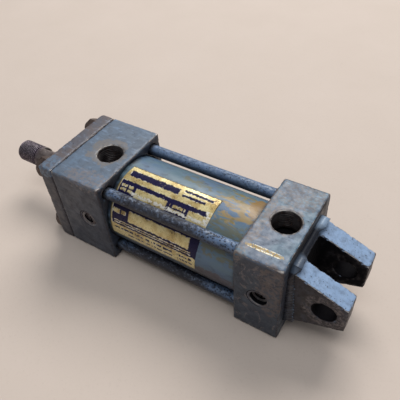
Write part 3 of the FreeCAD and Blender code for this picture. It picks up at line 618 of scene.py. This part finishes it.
def build_blocks():
    """Retainer plate, head and cap: the same worn enamel, each with its own wear."""
    plate_corner = ((plate_low.x + plate_high.x) / 2, plate_low.y + 4 * MM, top_face)
    head_edge = (head_high.x - 12 * MM, head_low.y + 6 * MM, top_face)
    cap_far = (cap_high.x - 12 * MM, cap_high.y - 9 * MM, top_face)
    cap_front = (cap_low.x + 2 * MM, cap_low.y + 20 * MM, top_face)
    cap_side = (cap_high.x - 6 * MM, side_face, 12 * MM)
    head_features = [
        (patch, ROSY_STEEL, head_edge, (17, 7, 8), 0.8, 0.6, 31),
        (port_stain, shade(112, 104, 98), head_port, 13), (rim, BRIGHT_STEEL_AND_HIGHLIGHT, head_port),
    ]
    cap_features = [
        (scratches, ROSY_STEEL), (port_stain, ROSY_STEEL, cap_port, 10),
        (patch, shade(88, 83, 86), cap_far, (14, 12, 8), 0.8, 0.75, 43),
        (patch, shade(112, 100, 94), cap_front, (5, 30, 8), 0.9, 0.7, 47),
        (patch, shade(98, 85, 80), cap_side, (8, 6, 22), 0.9, 0.7, 53),
        (shadow_above_weld, shade(28, 29, 36)), (back_edge_wear_and_highlight, BRIGHT_STEEL_AND_HIGHLIGHT), (scrape, TAN, 0, 1.5, 11, 2),
        (scrape, shade(232, 226, 206), -0.9, 0.45, 9, 5), (scrape, shade(214, 208, 190), 1.3, 0.35, 8, 9),
        (rim, BRIGHT_STEEL_AND_HIGHLIGHT, cap_port),
    ]
    plate_features = [(patch, BLUE, plate_corner, (9, 9, 8), 0.6, 0.85, 37)]
    looks = {
        "head_block": painted(
            "head_paint", BLUE, shade(84, 97, 113), wear=0.2, pits=0.3, grime=0.95, rub=0.3, seed=1.3,
            features=head_features + inside(head_port),
        ),
        "retainer_plate": painted(
            "plate_paint", shade(82, 80, 88), shade(92, 80, 78), wear=0.24, pits=0.55, grime=0.95, rub=0.7,
            seed=5.1, features=plate_features,
        ),
        "cap_block": painted(
            "cap_paint", shade(76, 106, 126), shade(84, 99, 120), wear=0.36, pits=0.35, grime=0.95,
            rub=0.42, seed=9.7, features=cap_features + inside(cap_port),
        ),
    }
    needles = {"head_block": head_port, "cap_block": cap_port}
    for seed, (node, material) in enumerate(looks.items()):
        piece = worn_copy(node, 0.4 * MM, 0.05 * MM, 11 + 5 * seed)
        if node in needles:
            ease_needle_bore(piece, needles[node])
        finish_piece(piece, material, replaces=node)


def build_clevis():
    """Bracket whose ears are blue on top, and bare and dirty on their sides."""
    def shaded_slot(make):
        # painted shade: near black on the faces between the ears
        inside = make.within(make.absolute(make.y), 9.9 * MM, 0.2)
        return make.times(inside, make.facing(UP, 0.5, 0.2), 0.97)

    def shaded_pin_bore(make):
        # painted shade on the wall of the pin's bore
        return make.within(make.away("xz", (0, 0)), 7.1 * MM, 0.25)

    def scuffed_ring(make):
        ring = make.within(make.off(make.away("xz", (0, 0)), 10 * MM), 2.2 * MM, 1.2)
        broken = make.ramp(make.noise(2.0, detail=6), 0.42, 0.6)
        return make.times(ring, broken, make.facing(NEAR, 0.6, 0.9), 0.75)

    def black_blotches(make):
        blots = make.ramp(make.noise(2.6, detail=7, roughness=0.7, shift=12, twist=1.2), 0.5, 0.58)
        return make.times(blots, make.facing(UP, 0.55, 0.25), 0.8)

    def shaded_web(make):
        """Painted shade on the strip between the weld and the slot's floor."""
        behind = make.ramp(make.x, cap_high.x + 4.6 * MM, cap_high.x + 3.2 * MM)
        return make.times(behind, make.ramp(make.absolute(make.y), 12.5 * MM, 9 * MM), 0.9)

    def unpainted_sides(make):
        patches = make.ramp(make.noise(5, detail=6, shift=3), 0.3, 0.7, 0.75, 0.98)
        return make.times(make.facing(UP, 0.55, 0.25), patches)

    material = painted(
        "clevis_enamel", SKY, SKY, wear=0.55, pits=0.6, grime=0.9, rub=0.1, seed=14.2,
        features=[
            (unpainted_sides, shade(39, 30, 32)), (scuffed_ring, ROSY_STEEL),
            (black_blotches, shade(24, 19, 23)), (shaded_web, shade(34, 38, 50)), (shaded_slot, SLOT_SHADE),
            (shaded_pin_bore, SOOT_AND_SHADE),
        ],
    )
    piece = worn_copy("clevis_bracket", 0.5 * MM, 0.2 * MM, 41)
    finish_piece(piece, material, replaces="clevis_bracket")


def build_weld():
    """Fillet weld round the clevis's root: smooth on top, a coarse bead down the sides."""
    weld_low, weld_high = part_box("clevis_weld")
    leg = weld_high.x - weld_low.x
    half_y, half_z = clevis_high.y, clevis_high.z
    lean = 0.39  # how fast the ears' tops and bottoms close in towards the tips
    half_slot, slot_floor = 9.65 * MM, 3.3 * MM
    corner, step, ripple_pitch, across = 2.5 * MM, 0.4 * MM, 2.4 * MM, 14
    corners = [Vector((y * half_y, z * half_z)) for y, z in ((1, -1), (1, 1), (-1, 1), (-1, -1))]
    route = []
    for start, end in zip(corners, corners[1:] + corners[:1]):
        along = (end - start).normalized()
        out = Vector((-along.y, along.x))
        count = int((end - start).length / step)
        for index in range(count):
            point = start.lerp(end, (index + 0.5) / count)
            from_start, to_end = (point - start).length, (point - end).length
            turn = out + along * (max(0, 1 - to_end / corner) - max(0, 1 - from_start / corner))
            route.append((point, turn.normalized(), abs(out.y) > 0.5))
    noise_at = np.array([(point.x, point.y, 0) for point, _, _ in route])
    wobble = ripple_noise(noise_at, 6 * MM, 5) * 0.6 + ripple_noise(noise_at, 2.3 * MM, 6) * 0.4
    vertices, valleys = [], []
    for index, (point, out, flat) in enumerate(route):
        on_top = flat and point.y > 0
        coarse = 0.1 if on_top else 1.0
        rise = leg * (0.94 if flat else 0.8 - 0.3 * point.y / half_z)
        spread = leg * (1.1 if on_top else 0.86)
        if flat:
            over_slot = min(1, max(0, (half_slot + 3.5 * MM - abs(point.x)) / (3.5 * MM)))
            over_slot *= over_slot * (3 - 2 * over_slot)
            rise += (min(rise, slot_floor * 0.93) - rise) * over_slot
        for slice_index in range(across):
            part = slice_index / (across - 1)
            phase = (index * step / ripple_pitch + 0.5 * math.sin(math.pi * part)) % 1
            lift = 1 - coarse * 0.2 * phase + 0.07 * wobble[index] * (0.4 + coarse)
            bend = 2.4 if on_top else 1.7
            away = min(leg * 1.12, spread * lift) * math.cos(part * math.pi / 2) ** bend
            height = min(leg * 0.99, rise * lift) * math.sin(part * math.pi / 2) ** bend
            if slice_index == across - 1:
                away = -0.5 * MM
            if slice_index == 0:
                height = -0.2 * MM
            elif flat:
                away -= lean * height
            vertices.append((cap_high.x + height, point.x + out.x * away, point.y + out.y * away))
            valleys.append(coarse * max(0, phase * 3 - 2))
        inner = point - out * (3.2 * MM)
        vertices.append((cap_high.x - 0.2 * MM, inner.x, inner.y))
        valleys.append(0)
    numbers = np.arange(len(vertices)).reshape(len(route), across + 1)
    faces = grid_faces(np.pad(numbers, ((0, 1), (0, 1)), mode="wrap"))
    piece = new_object("clevis_weld_bead", vertices, faces)
    set_attribute(piece.data, "edge", np.zeros(len(vertices)))
    set_attribute(piece.data, "hollow", valleys)

    def shaded_weld_sides(make):
        # painted shade: dark on the weld's sides and on its faces turned away from the top
        outside = make.ramp(make.absolute(make.y), half_y - 0.2 * MM, half_y + 0.8 * MM)
        outside = make.either(outside, make.facing(UP, 0.4, 0.15))
        return make.times(outside, make.ramp(make.noise(3), 0.3, 0.7, 0.86, 0.98))

    def shaded_middle(make):
        middle = make.spot((cap_high.x, -10 * MM, clevis_high.z), (14, 20, 12), 0.3, 5, 3)
        return make.times(middle, make.ramp(make.y, -14 * MM, -8 * MM, 0.75, 1))

    def slot_deep_shade(make):
        # painted shade: deeper black over the middle, above the slot
        return make.times(make.ramp(make.absolute(make.y), 13 * MM, 9 * MM), 0.65)

    material = painted(
        "weld_enamel", shade(150, 170, 194), shade(132, 154, 180), wear=0, pits=0.4, grime=0.4, rub=0,
        seed=21.0, features=[
            (shaded_middle, shade(48, 55, 70)), (slot_deep_shade, SOOT_AND_SHADE), (shaded_weld_sides, shade(30, 25, 31)),
        ],
    )
    finish_piece(piece, material, replaces="clevis_weld")


def by_blocks(make, head_reach, cap_reach):
    """Mask of what is this close to the head and to the cap, in millimetres."""
    head_end = make.ramp(make.x, head_high.x + head_reach * MM, head_high.x)
    return make.either(head_end, make.ramp(make.x, cap_low.x - cap_reach * MM, cap_low.x))


def tie_rod_enamel(name, seed, dark, pits, underside_shade):
    """Thin enamel on a tie rod, oily and chipped over its middle, where pale flakes are left; painted shade
    on its low side.
    """
    make = Recipe(name)
    mid = make.noise(3.6, detail=6, roughness=0.65, stretch=(0.5, 1, 1), shift=seed + 1)
    fine = make.noise(0.7, detail=5, roughness=0.7, shift=seed + 2)
    flecks = make.noise(1.7, detail=7, roughness=0.75, stretch=(0.7, 1, 1), shift=seed + 3)
    make.set("Base Color", make.mix(make.ramp(mid, 0.35, 0.65), shade(84, 106, 134), shade(90, 114, 150)))
    middle = (head_high.x + cap_low.x) / 2 - 8 * MM
    half = (cap_low.x - head_high.x) / 2
    oily = make.add(make.off(make.x, middle), make.times(mid, 40 * MM))
    oily = make.ramp(oily, half * 1.4, half * 0.9)
    make.coat(shade(44, 46, 58), oily, dark)
    scuff = make.times(make.ramp(flecks, 0.53, 0.6), make.facing((0, -0.3, 0.95), 0.0, 0.8))
    make.coat(shade(132, 146, 168), scuff, 0.5)
    speck = make.add(make.minus(1.0, make.cells(1.5, shift=seed + 4)), make.times(mid, 0.7))
    speck = make.ramp(speck, 1.34 - 0.36 * pits, 1.42 - 0.36 * pits)
    pitted = make.either(make.times(make.ramp(flecks, 0.45, 0.39), pits), speck)
    make.coat(shade(26, 24, 31), pitted, 0.85)
    # painted shade on the faces turned down and away
    make.coat(shade(30, 29, 36), make.facing((0, 0.35, 0.93), 0.5, -0.3), underside_shade)
    make.coat(SOOT_AND_SHADE, make.times(by_blocks(make, 4, 3), make.ramp(mid, 0.2, 0.6)))
    stub = make.ramp(make.x, plate_low.x + 1 * MM, plate_low.x)
    rusty = make.mix(make.ramp(fine, 0.4, 0.6), shade(50, 40, 42), shade(84, 72, 70))
    rusty = make.mix(make.ramp(make.attribute("hollow"), 0.2, 0.7), rusty, SOOT_AND_SHADE)
    make.coat(rusty, stub)
    make.set("Roughness", make.ramp(mid, 0.3, 0.7, 0.34, 0.56))
    make.bump(make.minus(make.times(flecks, 0.6), pitted), 0.2)
    make.bump(fine, 0.05, 0.7)
    return make.material


def build_tie_rods():
    """Four bars with thread ridges on the ends that stand out of their nuts."""
    for seed, (node, dark, pits, underside_shade) in enumerate((
        ("tie_rod_top_near", 0.92, 0.9, 0.6), ("tie_rod_top_far", 0.1, 0.62, 0.9),
        ("tie_rod_bottom_near", 1.0, 1.0, 0.8), ("tie_rod_bottom_far", 0.6, 0.6, 0.8),
    )):
        low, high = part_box(node)
        centre = ((low.y + high.y) / 2, (low.z + high.z) / 2)
        thread = (high.y - low.y) / 2
        ridges_end = plate_low.x + 2 * MM
        front_end = plate_low.x + 20 * MM
        back_start = cap_low.x - 2 * MM
        ridged = [
            (low.x, 0.2 * MM), (low.x, thread - 0.8 * MM), (low.x + 0.8 * MM, thread), (ridges_end, thread),
        ]
        smooth = [
            (ridges_end, thread), (front_end, thread), (front_end + 1 * MM, TIE_ROD_RADIUS),
            (back_start - 1 * MM, TIE_ROD_RADIUS), (back_start, thread), (high.x, thread),
            (high.x, 0.2 * MM),
        ]
        rows = divided(ridged, 0.17 * MM) + divided(smooth, 0.6 * MM)[1:]

        def shape(x, angle, radius):
            start = low.x - TIE_ROD_PITCH
            cut = thread_cut(x, angle, TIE_ROD_PITCH, 0.55 * MM, start, ridges_end)
            dents = turned_noise(x, angle, radius, 3.2 * MM, 60 + seed)
            dents += turned_noise(x, angle, radius, 1.3 * MM, 70 + seed)
            return radius - cut - (dents - 0.7).clip(0, 1.5) * 0.09 * MM * (x > ridges_end)

        piece = lathe(node + "_bar", rows, 40, shape, centre)
        wear_attributes(piece.data, 5, 0.16 * MM)
        material = tie_rod_enamel(f"tie_rod_enamel_{seed}", 30 + 3.3 * seed, dark, pits, underside_shade)
        finish_piece(piece, material, replaces=node)


def build_rod():
    """Ground rod with a real thread, wrench flats and the steps that carry the piston."""
    tip, end = rod_low.x, rod_high.x
    thread_end = tip + ROD_THREAD
    relief_end = thread_end + THREAD_RELIEF
    stub = end - PISTON_SEAT
    shoulder = stub - SLEEVE_SEAT
    outside = [
        (tip, 0.3 * MM), (tip, ROD_THREAD_RADIUS - 1.5 * MM),
        (tip + 0.35 * MM, ROD_THREAD_RADIUS - 0.85 * MM), (tip + 1.3 * MM, ROD_THREAD_RADIUS),
        (thread_end, ROD_THREAD_RADIUS), (thread_end + 0.15 * MM, THREAD_RELIEF_RADIUS),
        (relief_end - 0.15 * MM, THREAD_RELIEF_RADIUS), (relief_end, ROD_RADIUS),
        (plate_low.x, ROD_RADIUS),
    ]
    inside_cylinder = [
        (plate_low.x, ROD_RADIUS), (shoulder, ROD_RADIUS), (shoulder + 0.05 * MM, SLEEVE_SEAT_RADIUS),
        (stub, SLEEVE_SEAT_RADIUS), (stub + 0.05 * MM, PISTON_SEAT_RADIUS), (end, PISTON_SEAT_RADIUS),
        (end, 0.3 * MM),
    ]
    rows = divided(outside, 0.2 * MM) + divided(inside_cylinder, 1.5 * MM)[1:]

    def shape(x, angle, radius):
        start, stop = tip - THREAD_PITCH * 0.6, thread_end + THREAD_PITCH * 0.2
        cut = thread_cut(x, angle, THREAD_PITCH, 0.78 * MM, start, stop)
        knocks = (turned_noise(x, angle, radius, 2.4 * MM, 91) - 0.6).clip(0, 1.2)
        worked = radius - cut - knocks * 0.16 * MM * (x < plate_low.x)
        in_flats = (x > plate_low.x - FLAT_START) & (x < plate_low.x - FLAT_END)
        limit = FLAT_HALF / np.abs(np.cos(angle - FLAT_TURN)).clip(1e-3)
        return np.where(in_flats, np.minimum(worked, limit), worked)

    piece = lathe("piston_rod_bar", rows, 120, shape)
    wear_attributes(piece.data, 6, 0.25 * MM)

    make = Recipe("rod_steel", metallic=0.55)
    threaded = make.ramp(make.x, plate_low.x - 36 * MM, plate_low.x - 42.5 * MM)
    stain = make.noise(4.5, detail=5, shift=2)
    fine = make.noise(0.8, detail=5, roughness=0.7, shift=5)
    ground = make.mix(make.ramp(stain, 0.35, 0.65), ROSY_STEEL, BROWN_STEEL)
    # thread: dark purple steel with light specks, which are painted glints on the crests
    thread_with_glints = make.mix(make.ramp(fine, 0.46, 0.66), shade(46, 33, 47), shade(150, 134, 150))
    make.set("Base Color", make.mix(threaded, ground, thread_with_glints))
    dirty = make.ramp(make.add(make.attribute("hollow"), make.times(fine, 0.3)), 0.3, 0.65)
    make.coat(SOOT_AND_SHADE, dirty, 0.9)
    # bright crests: worn steel, also a painted highlight
    make.coat(BRIGHT_STEEL_AND_HIGHLIGHT, make.ramp(make.attribute("edge"), 0.5, 0.9), 0.35)
    make.set("Roughness", make.ramp(stain, 0.3, 0.7, 0.34, 0.55))
    make.bump(fine, 0.12)
    finish_piece(piece, make.material, replaces="piston_rod", body="rod_assembly")


def build_port_threads():
    """Thread ridges on the wall of each port."""
    wall = mounts["head_port"]["dims"]["r_mm"] * MM
    segments, steps_per_turn = 96, 7
    step = THREAD_PITCH / steps_per_turn
    rows = int(13.5 * MM / step)
    row, column = np.meshgrid(np.arange(rows + 1), np.arange(segments), indexing="ij")
    depth = 0.7 * MM + row * step
    turn = (depth / THREAD_PITCH + column / segments) % 1
    ridge = (1 - np.abs(turn - 0.5) * 2.3).clip(0)
    fade = (np.minimum(row, rows - row) / steps_per_turn).clip(0, 1)
    inner = wall - (0.05 + 0.75 * ridge * fade) * MM
    radius = np.stack([inner, np.full_like(inner, wall + 0.15 * MM)], -1)
    angle = (2 * math.pi * column / segments)[..., None]
    height = (top_face - depth)[..., None] * np.ones_like(radius)
    points = np.stack([radius * np.cos(angle), radius * np.sin(angle), height], -1).reshape(-1, 3)
    numbers = np.arange(len(points)).reshape(rows + 1, segments, 2)
    numbers = np.pad(numbers, ((0, 0), (0, 1), (0, 0)), mode="wrap")
    faces = grid_faces(numbers[:, :, 0], numbers[:, :, 1], numbers[0], numbers[-1])
    steel = plain_steel("port_thread", shade(78, 72, 72), shade(36, 32, 35), 0.38, 0.7, (1, 1, 0.2), 0.75, 3)
    for name, port in (("head_port_thread", head_port), ("cap_port_thread", cap_port)):
        piece = new_object(name, points + (port.x, port.y, 0), faces)
        wear_attributes(piece.data, 3, 0.2 * MM)
        finish_piece(piece, steel)


def tube_enamel():
    """Enamel of the tube, with yellowed patches near the cap."""
    make = Recipe("tube_enamel")
    broad = make.noise(16, detail=4, shift=1, stretch=(0.6, 1, 1))
    mid = make.noise(5, detail=6, roughness=0.6, shift=2, stretch=(0.6, 1, 1))
    fine = make.noise(0.8, detail=4, shift=3)
    make.set("Base Color", make.mix(make.ramp(broad, 0.38, 0.62), shade(84, 108, 136), TEAL))
    make.coat(SLATE, make.ramp(mid, 0.52, 0.7), 0.5)

    by_cap = (cap_low.x - 13.5 * MM, 0, tube_high.z)
    stain = make.spot(by_cap, (15, 11.5, 11), ragged=0.75, size=5.5, shift=4)
    streak = make.ramp(make.noise(3.4, detail=4, stretch=(0.35, 1, 1), shift=6, twist=1.0), 0.42, 0.55)
    make.coat(TAN, make.times(stain, streak, 0.75))
    lower = (cap_low.x - 9 * MM, -20 * MM, 20 * MM)
    olive = make.spot(lower, (18, 11, 14), ragged=0.9, size=4, shift=9)
    beside = (cap_low.x - 31 * MM, 9 * MM, tube_high.z)
    olive = make.either(olive, make.spot(beside, (24, 6, 9), ragged=0.9, size=5, shift=17))
    make.coat(OLIVE, make.times(olive, streak, 0.6))
    at_cap = make.spot((cap_low.x - 2.5 * MM, 5 * MM, tube_high.z), (6, 9, 9), 0.7, 3, 23)
    make.coat(shade(134, 100, 38), at_cap, 0.85)
    rust = make.spot((cap_low.x - 16 * MM, -26 * MM, -8 * MM), (16, 9, 9), 0.8, 3, 2)
    make.coat(RUST, rust, 0.6)

    make.coat(SOOT_AND_SHADE, make.times(by_blocks(make, 5, 3.5), make.ramp(mid, 0.25, 0.6)), 0.85)
    # painted shade: dark grey on the tube's lower side
    make.coat(SHADE_GREY, make.facing(UP, 0.35, -0.5), 0.75)
    speck = make.ramp(make.add(make.minus(1, make.cells(2.6)), make.times(mid, 0.5)), 1.17, 1.24)
    make.coat(DARK_STEEL, speck, 0.75)
    make.set("Roughness", make.ramp(mid, 0.3, 0.7, 0.3, 0.5))
    make.bump(make.minus(mid, speck), 0.12)
    make.bump(fine, 0.04, 0.6)
    return make.material


def foil_shape(length, span):
    """Foil wrapped on the tube from its top down the near side, a little wavy, with skewed ends."""
    columns, rows = 124, 96
    along, around = np.meshgrid(np.linspace(0, 1, columns + 1), np.linspace(0, 1, rows + 1))
    spread = np.stack([foil_low.x + along * length, around * 50 * MM, 0 * along], -1).reshape(-1, 3)
    wave = ripple_noise(spread, 9 * MM, 3) * 0.03 + ripple_noise(spread, 3 * MM, 4) * 0.015
    border = np.minimum(along, 1 - along) * length / (1.5 * MM)
    lift = (0.13 + wave.reshape(along.shape)).clip(0.03) + 0.05 * (1 - border).clip(0)
    upper = (1 - around / 0.3).clip(0)
    lost = (2.4 + 1.8 * around) * np.minimum(1, upper + around) * MM
    x = foil_low.x + 2.4 * MM * upper + along * (length - lost)
    x = x.clip(foil_low.x, foil_high.x)[..., None]
    radius = tube_high.z + np.stack([lift, np.full_like(lift, -0.05)], -1) * MM
    angle = (around * span)[..., None]
    points = [x * np.ones_like(radius), -radius * np.sin(angle), radius * np.cos(angle)]
    vertices = np.stack(points, -1).reshape(-1, 3)
    numbers = np.arange(len(vertices)).reshape(rows + 1, columns + 1, 2)
    sides = numbers[:, :, 0], numbers[:, :, 1]
    borders = numbers[0], numbers[-1], numbers[:, 0], numbers[:, -1]
    return new_object("name_plate_foil", vertices, grid_faces(*sides, *borders))


def build_name_plate():
    """Foil plate printed with plain bars and boxes, scuffed and torn in places."""
    span = math.radians(102)
    piece = foil_shape(foil_high.x - foil_low.x, span)
    wear_attributes(piece.data, 3, 0.1 * MM)

    make = Recipe("foil_print")
    inputs = {"Value": make.x, "From Min": foil_low.x, "From Max": foil_high.x}
    along = make.node("ShaderNodeMapRange", inputs, clamp=False).outputs["Result"]
    around = make.times(make.math("ARCTAN2", make.times(make.y, -1.0), make.z), 1 / span)
    around = make.add(around, make.swing(make.noise(1.6, detail=5, shift=5), 0.045))

    def block(start, end, top, bottom, soft=0.006):
        """Box on the plate, in parts of its length and of its way round the tube."""
        return make.times(
            make.ramp(along, start - soft, start + soft), make.ramp(along, end + soft, end - soft),
            make.ramp(around, top - soft, top + soft), make.ramp(around, bottom + soft, bottom - soft),
        )

    def together(blocks):
        return make.either(*(block(*sizes) for sizes in blocks))

    fields = [(0.02, 0.955, 0.215, 0.80), (0.9, 0.975, 0.5, 0.8)]
    boxes = [(0.205, 0.545, 0.27, 0.42), (0.775, 0.99, 0.27, 0.42), (0.21, 0.875, 0.56, 0.70)]
    hairlines = [(0.05, 0.90, 0.733, 0.742), (0.05, 0.90, 0.764, 0.773)]
    bars = [(0.06, 0.60, 0.065, 0.15), (0.64, 0.94, 0.05, 0.083), (0.64, 0.88, 0.115, 0.148)]
    small = [(0.05, 0.94, 0.832, 0.866), (0.2, 0.94, 0.905, 0.932)]
    captions = [(0.04, 0.17, 0.27, 0.30), (0.04, 0.17, 0.32, 0.35), (0.58, 0.74, 0.28, 0.31)]
    captions += [(0.58, 0.74, 0.33, 0.36), (0.03, 0.175, 0.585, 0.635)]
    dashes = make.noise(1.0, detail=1, stretch=(0.6, 0.01, 0.01), shift=8)
    dashed_rows = make.times(together(small), make.ramp(dashes, 0.42, 0.47))
    dashed_captions = make.times(together(captions), make.ramp(dashes, 0.38, 0.44))
    pale = make.either(together(boxes), dashed_captions, together(hairlines))
    navy = make.either(together(fields), together(bars), dashed_rows)
    navy = make.times(navy, make.minus(1.0, pale))

    broad = make.noise(11, detail=5, roughness=0.65, shift=3)
    fine = make.noise(1.2, detail=6, roughness=0.75, shift=6)
    scuff = make.add(make.times(broad, 0.5), make.times(fine, 0.62))
    make.set("Base Color", make.mix(make.ramp(broad, 0.35, 0.65), CREAM, FOIL_GOLD))
    make.coat(shade(84, 72, 54), make.ramp(scuff, 0.6, 0.7), 0.9)
    make.coat(NAVY, navy)
    outline = make.times(navy, make.minus(1, navy), 4)
    flakes = make.noise(2.6, detail=5, roughness=0.7, shift=11)
    torn = make.ramp(make.noise(2.2, detail=6, roughness=0.7, shift=15), 0.44, 0.52)
    tear_and_glint = make.times(together([(0.16, 0.985, 0.33, 0.37), (0.93, 0.985, 0.2, 0.37)]), torn)
    # white chips and tears: chipped print, also painted glints on torn foil edges
    chips = make.times(outline, make.ramp(flakes, 0.5, 0.56))
    chips = make.either(chips, make.ramp(flakes, 0.7, 0.73), tear_and_glint)
    make.coat(shade(226, 222, 212), chips)
    make.coat(shade(196, 186, 160), make.ramp(scuff, 0.44, 0.38), 0.7)
    border = make.ramp(make.minus(1, block(0.012, 0.988, 0.012, 0.988)), 0.3, 0.8)
    make.coat(shade(70, 62, 48), border, 0.8)
    # painted shadow of the tie rod across the plate
    tie_rod_shadow = make.times(block(-0.1, 1.1, 0.39, 0.53, 0.05), make.ramp(broad, 0.3, 0.7))
    make.coat(SOOT_AND_SHADE, tie_rod_shadow, 0.6)
    make.set("Metallic", make.times(make.minus(1, navy), 0.35))
    make.set("Roughness", make.ramp(fine, 0.3, 0.7, 0.22, 0.45))
    make.set("Specular IOR Level", make.ramp(navy, 0, 1, 0.5, 0.2))
    make.bump(broad, 0.25, 0.8)
    make.bump(fine, 0.06, 0.7)
    finish_piece(piece, make.material, replaces="name_plate")


def dress_cad_nodes():
    """Materials for the CAD nodes that keep their shape."""
    rubber = Recipe("nitrile", roughness=0.62, specular=0.35)
    dust = rubber.noise(1.5, detail=5)
    rubber.set("Base Color", rubber.mix(rubber.ramp(dust, 0.5, 0.8), RUBBER, shade(66, 62, 58)))
    rubber.bump(dust, 0.05)
    turned = (1, 0.2, 0.2)
    bronze = plain_steel("bearing_bronze", BRONZE, shade(104, 78, 48), 0.36, 0.85, turned, 0.5, 2)
    iron = plain_steel("piston_iron", shade(104, 102, 102), shade(70, 68, 70), 0.45, 0.8, turned, 0.4, 5)
    oiled = plain_steel("oiled_steel", shade(92, 86, 84), shade(58, 52, 52), 0.38, 0.8, turned, 0.5, 8)
    screw_colours = shade(120, 116, 118), shade(66, 62, 68)
    screw = plain_steel("needle_steel", *screw_colours, 0.45, 0.3, (0.2, 1, 0.2), 0.8, 11)
    nut = plain_steel("nut_steel", shade(96, 82, 76), shade(56, 46, 44), 0.46, 0.6, (1, 1, 1), 0.7, 14)
    band = Recipe("bearing_plastic", roughness=0.5)
    flecks = band.noise(1.0, detail=5)
    band.set("Base Color", band.mix(band.ramp(flecks, 0.4, 0.7), shade(118, 98, 70), shade(84, 68, 50)))
    band.bump(flecks, 0.04)
    by_slot = {
        "seal_rubber": rubber.material, "gland_bronze": bronze, "piston_iron": iron, "dark_steel": oiled,
        "needle_steel": screw, "nut_steel": nut, "band_plastic": band.material,
        "tube_paint": tube_enamel(),
    }
    for row in frame["record"]["subparts"]:
        if row["material_slot"] in by_slot:
            mesh = NODES[row["node"]].data
            mesh.materials.clear()
            mesh.materials.append(by_slot[row["material_slot"]])


# ---- stage, lights and camera ----


def build_stage():
    bpy.ops.mesh.primitive_plane_add(size=6, location=(0, 0, head_low.z))
    floor = bpy.context.object
    floor.name = "floor"
    make = Recipe("pale_board", roughness=0.75, specular=0.25)
    soft = make.noise(60, detail=4)
    grain = make.noise(1.4, detail=3, shift=2)
    make.set("Base Color", make.mix(soft, shade(196, 182, 171), shade(204, 190, 180)))
    make.coat(shade(176, 160, 150), make.ramp(grain, 0.55, 0.8), 0.25)
    make.bump(grain, 0.1, 0.4)
    floor.data.materials.append(make.material)


def add_area(name, place, aim, size, power, colour):
    light = bpy.data.lights.new(name, "AREA")
    light.shape = "RECTANGLE"
    light.size, light.size_y = size
    light.energy = power
    light.color = colour
    lamp = add_object(name, light)
    lamp.location = place
    lamp.rotation_euler = (Vector(aim) - Vector(place)).to_track_quat("-Z", "Y").to_euler()


def build_lights():
    middle = (-0.11, 0, 0)
    add_area("key_softbox", (-0.5, 1.6, 1.9), middle, (1.7, 1.3), 57, (1, 0.98, 0.95))
    add_area("top_softbox", (0.15, -0.4, 2.6), (-0.11, -0.2, 0), (2.0, 1.7), 29, (0.95, 0.98, 1))
    add_area("front_fill", (0.3, -2.0, 0.9), middle, (2, 1.4), 1.9, (1, 0.97, 0.94))
    world = bpy.data.worlds.new("studio")
    world.use_nodes = True
    background = world.node_tree.nodes["Background"]
    background.inputs["Color"].default_value = (0.9, 0.94, 1, 1)
    background.inputs["Strength"].default_value = 0.2
    bpy.context.scene.world = world
    bpy.context.scene.view_settings.view_transform = "Standard"


def build_camera():
    """Three-quarter view from above the needle side, towards the rod end."""
    azimuth, elevation, roll = (math.radians(angle) for angle in (35.197, 44.891, -4.626))
    aim = Vector((-0.0962, 0.0106, 0.0087))
    distance = 0.29762
    level = Vector((math.cos(azimuth), math.sin(azimuth), 0))
    outward = Vector((math.sin(azimuth), -math.cos(azimuth), 0))
    back = outward * math.cos(elevation) + Vector(UP) * math.sin(elevation)
    upward = back.cross(level)
    right = level * math.cos(roll) + upward * math.sin(roll)
    upward = back.cross(right)
    camera = bpy.data.cameras.new("camera")
    camera.sensor_width = 36
    camera.lens = 42.17
    camera.clip_start = 0.01
    holder = add_object("camera", camera)
    turned = Matrix((right, upward, back)).transposed().to_4x4()
    holder.matrix_world = Matrix.Translation(aim + back * distance) @ turned
    bpy.context.scene.camera = holder


def main():
    build_camera()
    build_lights()
    build_stage()
    build_blocks()
    build_clevis()
    build_weld()
    build_tie_rods()
    build_rod()
    build_port_threads()
    build_name_plate()
    dress_cad_nodes()


main()
